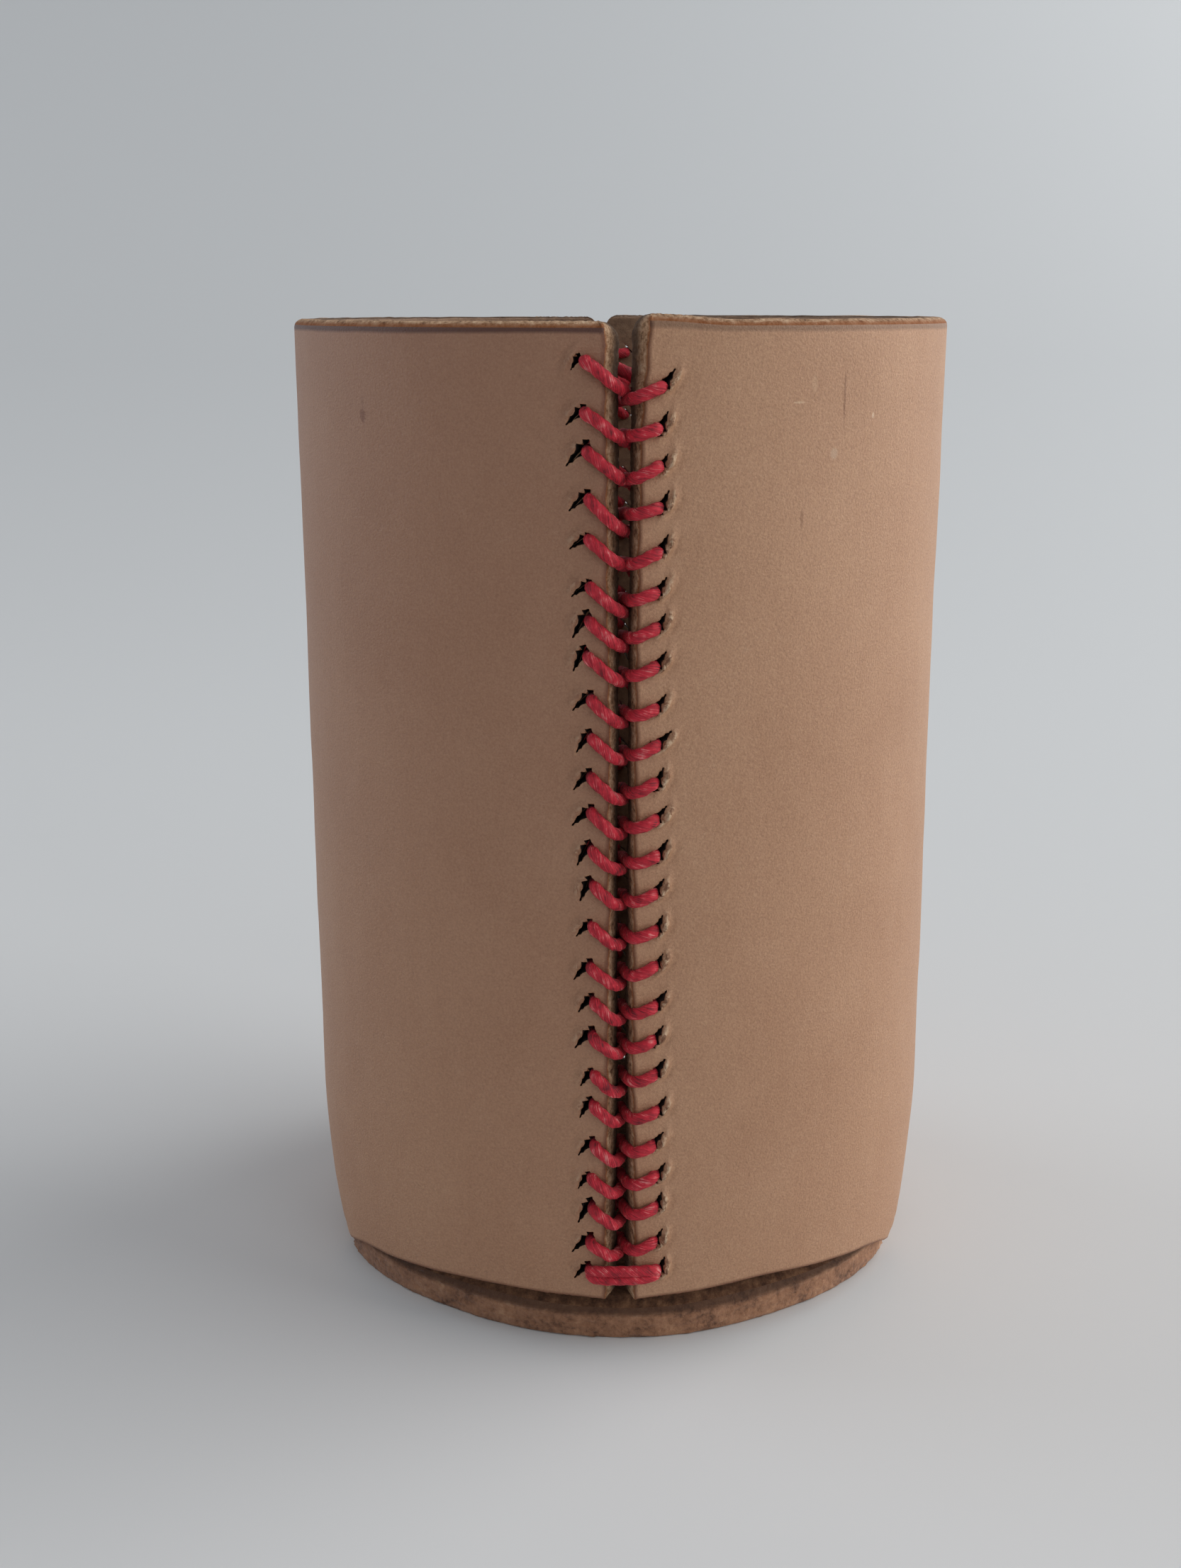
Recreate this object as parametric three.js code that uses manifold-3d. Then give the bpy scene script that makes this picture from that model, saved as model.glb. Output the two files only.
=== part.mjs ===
// Leather dice cup. Two half-round walls turn under into a round base and are laced
// together, front and back, with one waxed thread each. Millimetres, +Z up: the cup's
// axis is Z, the underside of the base is z = 0 and the front seam faces -Y.
import * as THREE from 'three';
import { mergeVertices } from 'three/addons/utils/BufferGeometryUtils.js';
import Module from 'manifold-3d';

const wasm = await Module();
wasm.setup();

// The cup
const cupHeight = 114;
const wallRadius = 38;
const leather = 3.2;
const rimBevel = 0.5;
const roundSteps = 48;
const fit = 0.3;

// The base, and the two necks where the walls fold under into it
const baseRadius = 35;
const foldX = 31.6;
const bendTop = 18;
const neckHalf = 14.5;
const hemFront = 6.4;

// The seams: a V groove between the wall edges, and one row of two slits for each stitch
const seamRows = 25;
const firstRow = 109.2;
const lastRow = 9.4;
const grooveMiddle = 1.65;
const grooveFlare = 0.75;
const grooveTaper = 0.8;
const slitInset = 2.45;
const slitLength = 2.8;
const slitWidth = 1.56;
const slitTilt = THREE.MathUtils.degToRad(35);

// The thread
const threadRadius = 0.6;
const threadSides = 4;
const leftDrop = 3.55;
const rightDrop = 1.6;

const rowPitch = (firstRow - lastRow) / (seamRows - 1);
const innerRadius = wallRadius - leather;
const tall = cupHeight + 10;

// Half the groove's width at the grain side, at height z
function halfGroove(z) {
  const fromMiddle = (z - cupHeight / 2) / (cupHeight / 2);
  return grooveMiddle + grooveFlare * fromMiddle ** 2;
}

function slitAcross(z) {
  return halfGroove(z) + slitInset;
}

// Closed geometry to a manifold solid
function solid(geometry) {
  const bare = geometry.clone();
  bare.deleteAttribute('normal');
  bare.deleteAttribute('uv');
  const merged = mergeVertices(bare, 1e-4);
  return new wasm.Manifold(new wasm.Mesh({
    numProp: 3,
    vertProperties: new Float32Array(merged.attributes.position.array),
    triVerts: new Uint32Array(merged.index.array),
  }));
}

// Manifold solid back to a geometry
function surface(shape) {
  const mesh = shape.getMesh();
  const geometry = new THREE.BufferGeometry();
  geometry.setAttribute('position', new THREE.BufferAttribute(mesh.vertProperties, 3));
  geometry.setIndex(new THREE.BufferAttribute(mesh.triVerts, 1));
  const flat = geometry.toNonIndexed();
  flat.computeVertexNormals();
  return flat;
}

// Section of a wall and its fold, from the rim down the outside and back up the inside
function wallSection() {
  const R = wallRadius;
  const r = innerRadius;
  const outside = [
    [R - rimBevel, cupHeight], [R, cupHeight - rimBevel], [R, bendTop], [R - 0.5, 9],
    [R - 0.9, 5], [R - 1.4, 2.4], [R - 2.4, 0.7], [R - 4.2, 0], [foldX - 4, 0],
  ];
  const inside = [
    [foldX - 4, leather], [r - 2.3, leather], [r - 1.4, 3.8], [r - 0.9, 5.4],
    [r - 0.5, 9], [r, bendTop], [r, cupHeight - rimBevel], [r + rimBevel, cupHeight],
  ];
  const points = [...outside, ...inside].map(([x, y]) => new THREE.Vector2(x, y));
  points.push(points[0].clone());
  return points.reverse();
}

function wallRing() {
  const ring = new THREE.LatheGeometry(wallSection(), roundSteps);
  ring.rotateX(Math.PI / 2);
  return solid(ring);
}

// A slab of the base's outline: a circle cut straight at both folds
function baseSlab(radius, fold, bottom, top) {
  const outline = new THREE.Shape();
  const start = Math.acos(fold / radius);
  outline.absarc(0, 0, radius, start, Math.PI - start, false);
  outline.absarc(0, 0, radius, Math.PI + start, 2 * Math.PI - start, false);
  outline.closePath();
  const slab = new THREE.ExtrudeGeometry(outline, {
    depth: top - bottom, bevelEnabled: false, curveSegments: roundSteps / 2,
  });
  slab.translate(0, 0, bottom);
  return slab;
}

// What is cut away under one wall's lower edge, beside a neck, seen along X
function hemCutter(side) {
  const far = wallRadius + 5;
  const outline = new THREE.Shape();
  outline.moveTo(neckHalf, -1);
  outline.lineTo(neckHalf, 0.6);
  outline.splineThru([
    new THREE.Vector2(20, 3), new THREE.Vector2(25, 4.7),
    new THREE.Vector2(31, 5.9), new THREE.Vector2(far, hemFront),
  ]);
  outline.lineTo(far, -1);
  outline.closePath();
  const cutter = new THREE.ExtrudeGeometry(outline, {
    depth: 2 * far, bevelEnabled: false, curveSegments: 3,
  });
  // Outline x runs along Y, outline y along Z, and the depth along X
  cutter.translate(0, 0, -far);
  cutter.rotateX(Math.PI / 2);
  cutter.rotateZ(Math.PI / 2);
  if (side < 0) cutter.rotateZ(Math.PI);
  return solid(cutter);
}

// The V groove that parts the walls at the front seam
function grooveCutter() {
  const near = -wallRadius - 4;
  const deep = near + leather + 10;
  const groove = new THREE.BoxGeometry(2, deep - near, tall, 1, 1, 12);
  groove.translate(0, (near + deep) / 2, tall / 2 - 5);
  const place = groove.attributes.position;
  for (let i = 0; i < place.count; i += 1) {
    const depth = place.getY(i) + wallRadius;
    const half = halfGroove(place.getZ(i)) - grooveTaper * depth / leather;
    place.setX(i, Math.sign(place.getX(i)) * Math.max(half, 0.8));
  }
  return solid(groove);
}

// One slit, standing at the front of the cup at an arc distance across from the seam
function slitCutter(across, z) {
  const slit = new THREE.CylinderGeometry(1, 1, leather + 6, 6);
  slit.scale(slitWidth / Math.sqrt(3), 1, slitLength / 2);
  slit.rotateY(slitTilt);
  slit.translate(0, -wallRadius + leather / 2, z);
  slit.rotateZ(across / wallRadius);
  return solid(slit);
}

function rowHeights() {
  return Array.from({ length: seamRows }, (_, row) => firstRow - row * rowPitch);
}

// Everything cut out of the walls along the front seam
function seamCutters() {
  const cutters = [grooveCutter()];
  for (const z of rowHeights()) {
    cutters.push(slitCutter(slitAcross(z), z));
    cutters.push(slitCutter(-slitAcross(z), z));
  }
  return wasm.Manifold.union(cutters);
}

// The wall on the -X side; the other wall is the same piece turned half round
function wallGeometry() {
  const half = new THREE.BoxGeometry(60, 100, 300);
  half.translate(-30, 0, 0);
  const front = seamCutters();
  const back = front.rotate([0, 0, 180]);
  const baseRoom = solid(baseSlab(baseRadius + fit, foldX + fit, -1, leather + fit));
  const wall = wallRing()
    .intersect(solid(half))
    .subtract(baseRoom)
    .subtract(hemCutter(1))
    .subtract(hemCutter(-1))
    .subtract(front)
    .subtract(back);
  return surface(wall);
}

// A lacing route through points that each get one ring of the thread
class Route extends THREE.CatmullRomCurve3 {
  getPointAt(u, target) {
    return this.getPoint(u, target);
  }

  getTangentAt(u, target) {
    return this.getTangent(u, target);
  }
}

// A point of the front seam: arc distance across, height above the grain, and z
function seamPoint(across, proud, z) {
  const turn = across / wallRadius;
  const reach = wallRadius + proud;
  return new THREE.Vector3(reach * Math.sin(turn), -reach * Math.cos(turn), z);
}

// From a slit on one side (-1 left, 1 right), over the grain, down through the groove and
// under the other wall to the slit of the next row
function crossing(side, row) {
  const z = firstRow - row * rowPitch;
  const next = z - rowPitch;
  const drop = side < 0 ? leftDrop : rightDrop;
  const slit = slitAcross(z);
  const nextSlit = slitAcross(next);
  const edge = halfGroove(z);
  const under = -leather - threadRadius;
  return [
    [side * slit, -leather * 0.55, z],
    [side * slit, 0, z],
    [side * (slit - 0.75), 0.85, z - 0.1 * drop],
    [side * (edge + 0.2), 0.8, z - 0.5 * drop],
    [side * 0.95, -0.1, z - 0.85 * drop],
    [side * 0.05, -leather * 0.7, z - drop],
    [-side * 1.2, under - 0.6, z - drop - 0.1 * (rowPitch - drop)],
    [-side * (nextSlit - 1), under - 0.5, next + 0.1 * (rowPitch - drop)],
    [-side * nextSlit, under + 0.2, next],
  ];
}

// The bar outside the last row, where one end of the thread goes in again
function closingBar(side, lift) {
  const slit = slitAcross(lastRow);
  return [
    [side * slit, -leather * 0.55, lastRow],
    [side * slit, 0, lastRow],
    [side * (slit - 0.8), 0.9, lastRow + lift],
    [0, 0.75, lastRow + lift],
    [-side * (slit - 1.6), 0.9, lastRow + lift],
  ];
}

// One end of the thread: from its slit in the first row down to the last row
function lacedEnd(firstSide) {
  const points = [];
  for (let row = 0; row < seamRows - 1; row += 1) {
    points.push(...crossing(row % 2 === 0 ? firstSide : -firstSide, row));
  }
  const lastSide = (seamRows - 1) % 2 === 0 ? firstSide : -firstSide;
  points.push(...closingBar(lastSide, lastSide < 0 ? 0.68 : -0.68));
  return points;
}

// One thread laces a whole seam: its middle is the bar inside the first row
function threadGeometry() {
  const slit = slitAcross(firstRow);
  const under = -leather - threadRadius;
  const bar = [
    [-slit, under + 0.2, firstRow], [-slit + 1, under - 0.5, firstRow],
    [0, under - 0.6, firstRow],
    [slit - 1, under - 0.5, firstRow], [slit, under + 0.2, firstRow],
  ];
  const list = [...lacedEnd(-1).reverse(), ...bar, ...lacedEnd(1)];
  const route = new Route(list.map((p) => seamPoint(...p)), false, 'centripetal');
  const section = new THREE.Shape();
  for (let i = 0; i < threadSides; i += 1) {
    const a = (2 * Math.PI * i) / threadSides;
    section[i === 0 ? 'moveTo' : 'lineTo'](threadRadius * Math.cos(a), threadRadius * Math.sin(a));
  }
  section.closePath();
  const thread = new THREE.ExtrudeGeometry(section, {
    steps: list.length - 1, extrudePath: route, bevelEnabled: false,
  });
  return surface(solid(thread));
}

const vegTanLeather = new THREE.MeshStandardMaterial({ color: 0xb8937a, roughness: 0.6 });
const leatherUnderside = new THREE.MeshStandardMaterial({ color: 0x8e6d55, roughness: 0.9 });
const waxedThread = new THREE.MeshStandardMaterial({ color: 0xc2303f, roughness: 0.7 });

function named(name, geometry, material) {
  const mesh = new THREE.Mesh(geometry, material);
  mesh.name = name;
  return mesh;
}

// A copy of a piece on the opposite side of the cup
function opposite(name, piece) {
  const copy = named(name, piece.geometry, piece.material);
  copy.rotation.z = Math.PI;
  return copy;
}

const cup = new THREE.Group();
const wallLeft = named('wall_left', wallGeometry(), vegTanLeather);
const frontThread = named('front_seam_thread', threadGeometry(), waxedThread);
const base = named('base_disc', surface(solid(baseSlab(baseRadius, foldX, 0, leather))), leatherUnderside);
cup.add(wallLeft, opposite('wall_right', wallLeft), base);
cup.add(frontThread, opposite('back_seam_thread', frontThread));

export default cup;
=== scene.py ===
import math

import bpy
import numpy as np
from mathutils import Matrix, Vector


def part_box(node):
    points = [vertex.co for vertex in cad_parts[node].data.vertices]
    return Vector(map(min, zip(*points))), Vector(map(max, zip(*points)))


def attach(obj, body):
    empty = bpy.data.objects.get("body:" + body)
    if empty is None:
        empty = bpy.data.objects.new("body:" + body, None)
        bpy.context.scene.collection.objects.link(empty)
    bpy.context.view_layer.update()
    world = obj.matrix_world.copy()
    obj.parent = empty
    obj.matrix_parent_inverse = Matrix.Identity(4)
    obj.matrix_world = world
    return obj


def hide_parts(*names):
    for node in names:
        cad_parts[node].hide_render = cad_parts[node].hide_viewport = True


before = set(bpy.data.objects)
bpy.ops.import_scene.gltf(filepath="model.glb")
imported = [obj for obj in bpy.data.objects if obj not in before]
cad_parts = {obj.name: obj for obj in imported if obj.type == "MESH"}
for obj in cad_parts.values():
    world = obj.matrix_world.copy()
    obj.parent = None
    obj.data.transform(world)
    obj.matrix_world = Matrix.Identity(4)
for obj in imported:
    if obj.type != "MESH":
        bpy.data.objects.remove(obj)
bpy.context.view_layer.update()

mm = 0.001
wallLow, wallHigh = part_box("wall_left")
baseLow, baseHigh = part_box("base_disc")

# All sizes below are millimetres; meshes are scaled to metres when they are made
cup = {
    "height": wallHigh[2] / mm,
    "radius": -wallLow[0] / mm,
    "leather": (baseHigh[2] - baseLow[2]) / mm,
    "baseRadius": baseHigh[1] / mm,
    "fold": baseHigh[0] / mm,
}


def hexColour(text, alpha=1.0):
    # sRGB hex to the linear colour that the shaders want
    parts = [int(text[i:i + 2], 16) / 255 for i in (1, 3, 5)]
    linear = [p / 12.92 if p <= 0.04045 else ((p + 0.055) / 1.055) ** 2.4 for p in parts]
    return (*linear, alpha)


def addNode(tree, kind, inputs=None, out=0, **settings):
    # one node with its settings and links; gives back the output that is wanted
    node = tree.nodes.new(kind)
    for name, value in settings.items():
        setattr(node, name, value)
    for key, value in (inputs or {}).items():
        if isinstance(value, bpy.types.NodeSocket):
            tree.links.new(value, node.inputs[key])
        else:
            node.inputs[key].default_value = value
    return node.outputs[out] if out is not None else node


def smooth(x, low, high):
    t = np.clip((x - low) / (high - low), 0, 1)
    return t * t * (3 - 2 * t)


# ---- the shape of the folded blank, shared by the walls, the slits and the lacing

blank = {
    "ridge": 8.0,          # degrees that each wall turns away from the seam
    "straight": 4.5,       # flat leather beside the seam
    "easing": 4.0,         # and how far it takes to reach the full curve
    "bendTop": 22.0,       # where the wall starts to lean in, and then turns under
    "firstLean": 0.07,
    "bendPower": 8.0,
    "cornerEase": 0.67,    # the bend is slacker at the ends of the necks
    "leftDrop": 0.2,       # the left wall's rim is this much lower
    "cornerRise": 0.5,     # the right wall's rim curls up beside the front seam
}

seam = {
    "rows": 25,
    "first": cup["height"] - 4.8,
    "last": 9.4,
    "middleGap": 1.62,     # half the groove at the grain, half way up
    "topFlare": 0.72,
    "bottomFlare": 0.6,
    "innerGap": 1.0,       # half the groove at the flesh side
    "innerTopGap": 0.15,
    "rightIn": 0.65,       # the right edge lies this much nearer at the grain
    "rightFlesh": 0.3,
    "rightFlare": 0.5,     # and opens out at the very top
    "backShift": 2.0,      # the back seam has crept this far towards the left wall
    "backClose": 0.35,     # and its groove is this much narrower
    "lowerLean": 0.6,
    "grainCorner": 0.55,   # rounding of the groove's top corners at the grain and at the flesh
    "fleshCorner": 2.1,
    "inset": 2.45,         # from the grain edge to the slit
    "seed": 7,
}
seam["pitch"] = (seam["first"] - seam["last"]) / (seam["rows"] - 1)


def makePlan():
    # half the cup seen from above, from the front seam round -X to the back seam
    steps = 2400
    beta = math.radians(blank["ridge"])
    a = np.linspace(0, 1, steps)
    ease = (blank["straight"], blank["straight"] + blank["easing"])
    length = math.pi * cup["radius"]
    for _ in range(6):
        dist = a * length
        bend = smooth(dist, *ease) * smooth(length - dist, *ease)
        turn = np.concatenate([[0], np.cumsum((bend[1:] + bend[:-1]) / 2)])
        heading = beta + (math.pi - 2 * beta) * turn / turn[-1]
        step = length / (steps - 1)
        dx, dy = -np.cos(heading) * step, np.sin(heading) * step
        x = np.concatenate([[0], np.cumsum((dx[1:] + dx[:-1]) / 2)])
        y = np.concatenate([[0], np.cumsum((dy[1:] + dy[:-1]) / 2)])
        length *= cup["radius"] / -x.min()
    y -= y[-1] / 2
    return {"a": dist, "x": x, "y": y, "heading": heading, "length": length}


def makeSection():
    # the wall from the rim down and round the bend: arc length to inset, height and lean
    steps = 1600
    x = np.linspace(0, 1, steps)
    first = blank["firstLean"]
    lean = first * smooth(x, 0, 0.4) + (math.pi / 2 - first) * x ** blank["bendPower"]
    down = np.concatenate([[0], np.cumsum(np.cos((lean[1:] + lean[:-1]) / 2))])
    inwards = np.concatenate([[0], np.cumsum(np.sin((lean[1:] + lean[:-1]) / 2))])
    scale = blank["bendTop"] / down[-1]
    straight = cup["height"] - blank["bendTop"]
    return {
        "s": np.concatenate([[-5], straight + np.arange(steps) * scale, [straight + 1.3 * steps * scale]]),
        "z": np.concatenate([[cup["height"] + 5], blank["bendTop"] - down * scale, [0]]),
        "inset": np.concatenate([[0], inwards * scale, [inwards[-1] * scale + 0.3 * steps * scale]]),
        "lean": np.concatenate([[0], lean, [math.pi / 2]]),
    }


plan = makePlan()
section = makeSection()


def bendShare(y):
    return 1 - blank["cornerEase"] * smooth(np.abs(y), 8, 19)


def blankPoint(a, s, depth):
    # a: distance round from the front seam, s: down from the rim, depth: into the leather
    x = np.interp(a, plan["a"], plan["x"])
    y = np.interp(a, plan["a"], plan["y"])
    over = np.minimum(a, 0)
    heading = np.interp(a, plan["a"], plan["heading"])
    x = x - over * np.cos(heading)
    y = y + over * np.sin(heading)
    normal = np.stack([-np.sin(heading), -np.cos(heading)], -1)
    lean = np.interp(s, section["s"], section["lean"])
    reach = np.interp(s, section["s"], section["inset"]) * bendShare(y) + depth * np.cos(lean)
    z = np.interp(s, section["s"], section["z"]) + depth * np.sin(lean)
    return np.stack([x - normal[..., 0] * reach, y - normal[..., 1] * reach, z], -1)


def halfGroove(z, share=0.0):
    # half the groove's width at height z; share runs from the grain (0) to the flesh side (1)
    up = (z - cup["height"] / 2) / (cup["height"] / 2)
    flare = np.where(up > 0, seam["topFlare"], seam["bottomFlare"])
    grain = seam["middleGap"] + flare * np.abs(up) ** 2.2
    flesh = seam["innerGap"] + seam["innerTopGap"] * smooth(z, 85, cup["height"])
    return grain + (flesh - grain) * share


# how far each stitch of the front seam lies off the even spacing, as it was laced by hand
handLaced = {
    "L": [0.8, 0.0, 0.3, -0.3, -0.2, -0.9, -0.3, 0.2, -0.2, -0.1, -0.2, 0.1, 0.1, 0.4, 0.0,
          -0.6, -0.4, -0.3, -0.6, -0.1, -0.8, -0.6, -0.3, -0.3, 0.2],
    "R": [-1.7, -1.6, -1.2, -1.1, -1.5, -1.4, -0.9, -0.8, -1.1, -0.8, -0.7, -0.6, -0.4,
          -0.5, -0.5, -0.4, -0.9, -0.7, -0.6, -0.8, -0.8, -0.3, 0.0, -0.2, 0.3],
}


def edgeShift(z, share=0.0):
    # how much nearer to the seam's line the right edge lies
    top = seam["rightFlare"] * smooth(z, cup["height"] - 13, cup["height"])
    return -seam["rightIn"] + top + (seam["rightIn"] - top - seam["rightFlesh"]) * share


def rowTable(seed, offsets=None):
    # one entry for each stitch row: small uneven places from hand punching and lacing
    rng = np.random.default_rng(seed)
    count = seam["rows"]
    z = seam["first"] - seam["pitch"] * np.arange(count)
    top = smooth(z, 50, 105)
    foot = 1 - smooth(z, 8, 50)
    table = {
        "slitL": halfGroove(z) + seam["inset"] + 0.3 + 0.25 * top - 0.15 * foot + rng.normal(0, 0.16, count),
        "slitR": halfGroove(z) - seam["rightIn"] + seam["inset"] + 0.25 - 0.25 * top + rng.normal(0, 0.14, count),
        "liftL": -0.15 + rng.normal(0, 0.1, count),
        "liftR": 0.5 + rng.normal(0, 0.12, count),
        "dropL": 2.75 + 0.4 * top - 0.4 * foot + rng.normal(0, 0.16, count),
        "dropR": 1.15 + 0.1 * top + rng.normal(0, 0.2, count),
        "proudL": 0.62 + rng.normal(0, 0.05, count),
        "proudR": 0.55 + rng.normal(0, 0.05, count),
        "tiltL": np.radians(38 + rng.normal(0, 8, count)),
        "tiltR": np.radians(32 + rng.normal(0, 7, count)),
        "growL": 1.03 + rng.normal(0, 0.12, count),
        "growR": 0.9 + rng.normal(0, 0.1, count),
    }
    for letter in "LR":
        off = rng.normal(0, 0.25, count) if offsets is None else np.array(offsets[letter])
        table["z" + letter] = z + off
    return table


laces = {"front": rowTable(seam["seed"], handLaced), "back": rowTable(seam["seed"] + 12)}


def meshObject(name, points, faces, materials=(), faceSlots=None):
    mesh = bpy.data.meshes.new(name)
    mesh.from_pydata((np.asarray(points) * mm).tolist(), [], faces)
    for material in materials:
        mesh.materials.append(material)
    if faceSlots is not None:
        mesh.polygons.foreach_set("material_index", np.asarray(faceSlots, dtype=np.int32))
    mesh.polygons.foreach_set("use_smooth", [True] * len(mesh.polygons))
    mesh.update()
    obj = bpy.data.objects.new(name, mesh)
    bpy.context.collection.objects.link(obj)
    return obj


def storeOn(obj, name, values):
    layer = obj.data.attributes.new(name, "FLOAT", "POINT")
    layer.data.foreach_set("value", np.asarray(values, dtype=np.float32))


def flatten(obj):
    # the evaluated result becomes the object's own plain mesh
    graph = bpy.context.evaluated_depsgraph_get()
    mesh = bpy.data.meshes.new_from_object(obj.evaluated_get(graph), depsgraph=graph)
    obj.modifiers.clear()
    old = obj.data
    obj.data = mesh
    bpy.data.meshes.remove(old)


def runTree(obj, tree, values):
    # inputs are set by socket identifier before the modifier is first evaluated
    modifier = obj.modifiers.new(tree.name, "NODES")
    modifier.node_group = tree
    for item in tree.interface.items_tree:
        if item.in_out == "INPUT" and item.name in values:
            modifier[item.identifier] = values[item.name]
    obj.update_tag()
    flatten(obj)


def newTree(name, wanted):
    tree = bpy.data.node_groups.new(name, "GeometryNodeTree")
    tree.interface.new_socket("Geometry", in_out="INPUT", socket_type="NodeSocketGeometry")
    for label, kind in wanted.items():
        tree.interface.new_socket(label, in_out="INPUT", socket_type=kind)
    tree.interface.new_socket("Geometry", in_out="OUTPUT", socket_type="NodeSocketGeometry")
    return tree, tree.nodes.new("NodeGroupInput").outputs


# ---- the walls

wall = {
    "rim": 0.95,           # rounding of the rim's outer edge, cut with an edge beveller
    "rimInside": 0.5,
    "hem": 0.3,
    "edge": 0.3,           # rounding of the groove's two edges
    "fineReach": 7.5,      # fine mesh beside the seams, for the slits and their lips
    "fineCell": 0.26,
    "coarseCell": 2.1,
    "rowCell": 0.38,
    "layers": 7,
    "neckHalf": 13.0,
    # height of the lower edge against the distance from the necks' middle
    "hemLine": [(13, 0.5), (14.5, 1.3), (17, 2.5), (20.5, 3.9), (23, 4.5), (25, 4.75), (27.5, 5.3), (30, 5.75),
                (33, 6.3), (35, 6.4), (36.5, 6.1), (38.2, 5.4)],
    "lipHeight": 0.75,
    "pull": 0.18,
}


def roundEdge(p, q, onP, onQ, radius):
    # p and q are distances from the two faces of an edge; onP marks points on the first face
    near = (onP | onQ) & (p < radius) & (q < radius)
    angle = np.where(onQ & ~onP, 1 - p / radius, 1 + q / radius) * math.pi / 4
    return (np.where(near, radius * (1 - np.sin(angle)), p),
            np.where(near, radius * (1 - np.cos(angle)), q))


def sectionEnd(a, hemLift):
    # where each column of the wall ends: on the hem, or on the fold at the necks
    x = np.interp(a, plan["a"], plan["x"])
    y = np.abs(np.interp(a, plan["a"], plan["y"]))
    heading = np.interp(a, plan["a"], plan["heading"])
    line = np.array(wall["hemLine"], dtype=float)
    hemZ = np.interp(y, line[:, 0], line[:, 1]) + hemLift * smooth(y, 17, 26) * (1 - smooth(y, 33, 37))
    onHem = np.interp(-hemZ, -section["z"], section["s"])
    reach = np.clip((-cup["fold"] - x) / np.maximum(np.sin(heading), 0.2), 0, 20)
    onFold = np.interp(reach / bendShare(y), section["inset"], section["s"])
    return np.where(y < wall["neckHalf"], onFold, onHem)


def slitRelief(away, z, table, letter):
    # height of the leather round the slits of one edge; away is the distance from that edge
    lift = np.zeros_like(away)
    sign = 1 if letter == "R" else -1
    for row in range(seam["rows"]):
        rowZ = table["z" + letter][row]
        up = z - rowZ - table["lift" + letter][row]
        edge = halfGroove(rowZ) + (edgeShift(rowZ) if letter == "R" else 0)
        across = away - (table["slit" + letter][row] - edge)
        near = (np.abs(up) < 3.4) & (away < 6.5)
        across, up, reach = across[near], up[near], away[near]
        tilt = table["tilt" + letter][row]
        # along the slit, which leans to the right going up, and off it away from the seam
        along = up * math.cos(tilt) + sign * across * math.sin(tilt)
        off = across * math.cos(tilt) - sign * up * math.sin(tilt)
        lip = np.exp(-((off - 0.64 + 0.1 * along ** 2) / 0.34) ** 2 - ((along - 0.1 * sign) / 1.3) ** 2)
        lip = lip * (1 + 0.3 * np.sin(along * 5.0 + row * 2.1 + off * 3))
        dent = np.exp(-((off - 0.1) / 0.26) ** 2 - (along / 1.2) ** 2)
        crease = np.exp(-((off - 1.5 + 0.12 * along ** 2) / 0.25) ** 2 - (along / 1.4) ** 2)
        height = wall["lipHeight"] * (1.0 if letter == "R" else 0.35)
        # the thread presses the leather down on its way to the grain edge
        path = -table["drop" + letter][row] * 0.55 * np.clip(1 - reach / seam["inset"], 0, 1)
        start = path - table["lift" + letter][row]
        pressed = np.exp(-((up - start) / 0.75) ** 2) * smooth(seam["inset"] - reach, -0.2, 1.2)
        lift[near] += height * lip - 0.16 * dent - 0.12 * crease - wall["pull"] * pressed
    return lift


def blockSkin(counts):
    # the surface of a block of cells: its points' three indices, its quads and each quad's side
    ni, nj, nk = counts
    i, j, k = np.meshgrid(range(ni + 1), range(nj + 1), range(nk + 1), indexing="ij")
    skin = (i == 0) | (i == ni) | (j == 0) | (j == nj) | (k == 0) | (k == nk)
    index = np.zeros(skin.shape, dtype=np.int64)
    index[skin] = np.arange(skin.sum())
    sides = [
        (index[:, :, 0], False, 0), (index[:, :, nk], True, 2), (index[0], False, 1),
        (index[ni], True, 1), (index[:, 0, :], True, 1), (index[:, nj, :], False, 1),
    ]
    faces, zones = [], []
    for grid, flip, zone in sides:
        quads = np.stack([grid[:-1, :-1], grid[1:, :-1], grid[1:, 1:], grid[:-1, 1:]], -1).reshape(-1, 4)
        faces.append(quads[:, ::-1] if flip else quads)
        zones.append(np.full(len(quads), zone))
    return i[skin], j[skin], k[skin], np.concatenate(faces), np.concatenate(zones)


def waviness(x, y, rng, size, waves=7):
    # a few long waves in random directions
    total = np.zeros_like(x)
    for _ in range(waves):
        angle, phase = rng.uniform(0, math.pi), rng.uniform(0, 2 * math.pi)
        length = size * rng.uniform(0.6, 1.6)
        total += np.sin((x * math.cos(angle) + y * math.sin(angle)) * 2 * math.pi / length + phase)
    return total / math.sqrt(waves)


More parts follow.
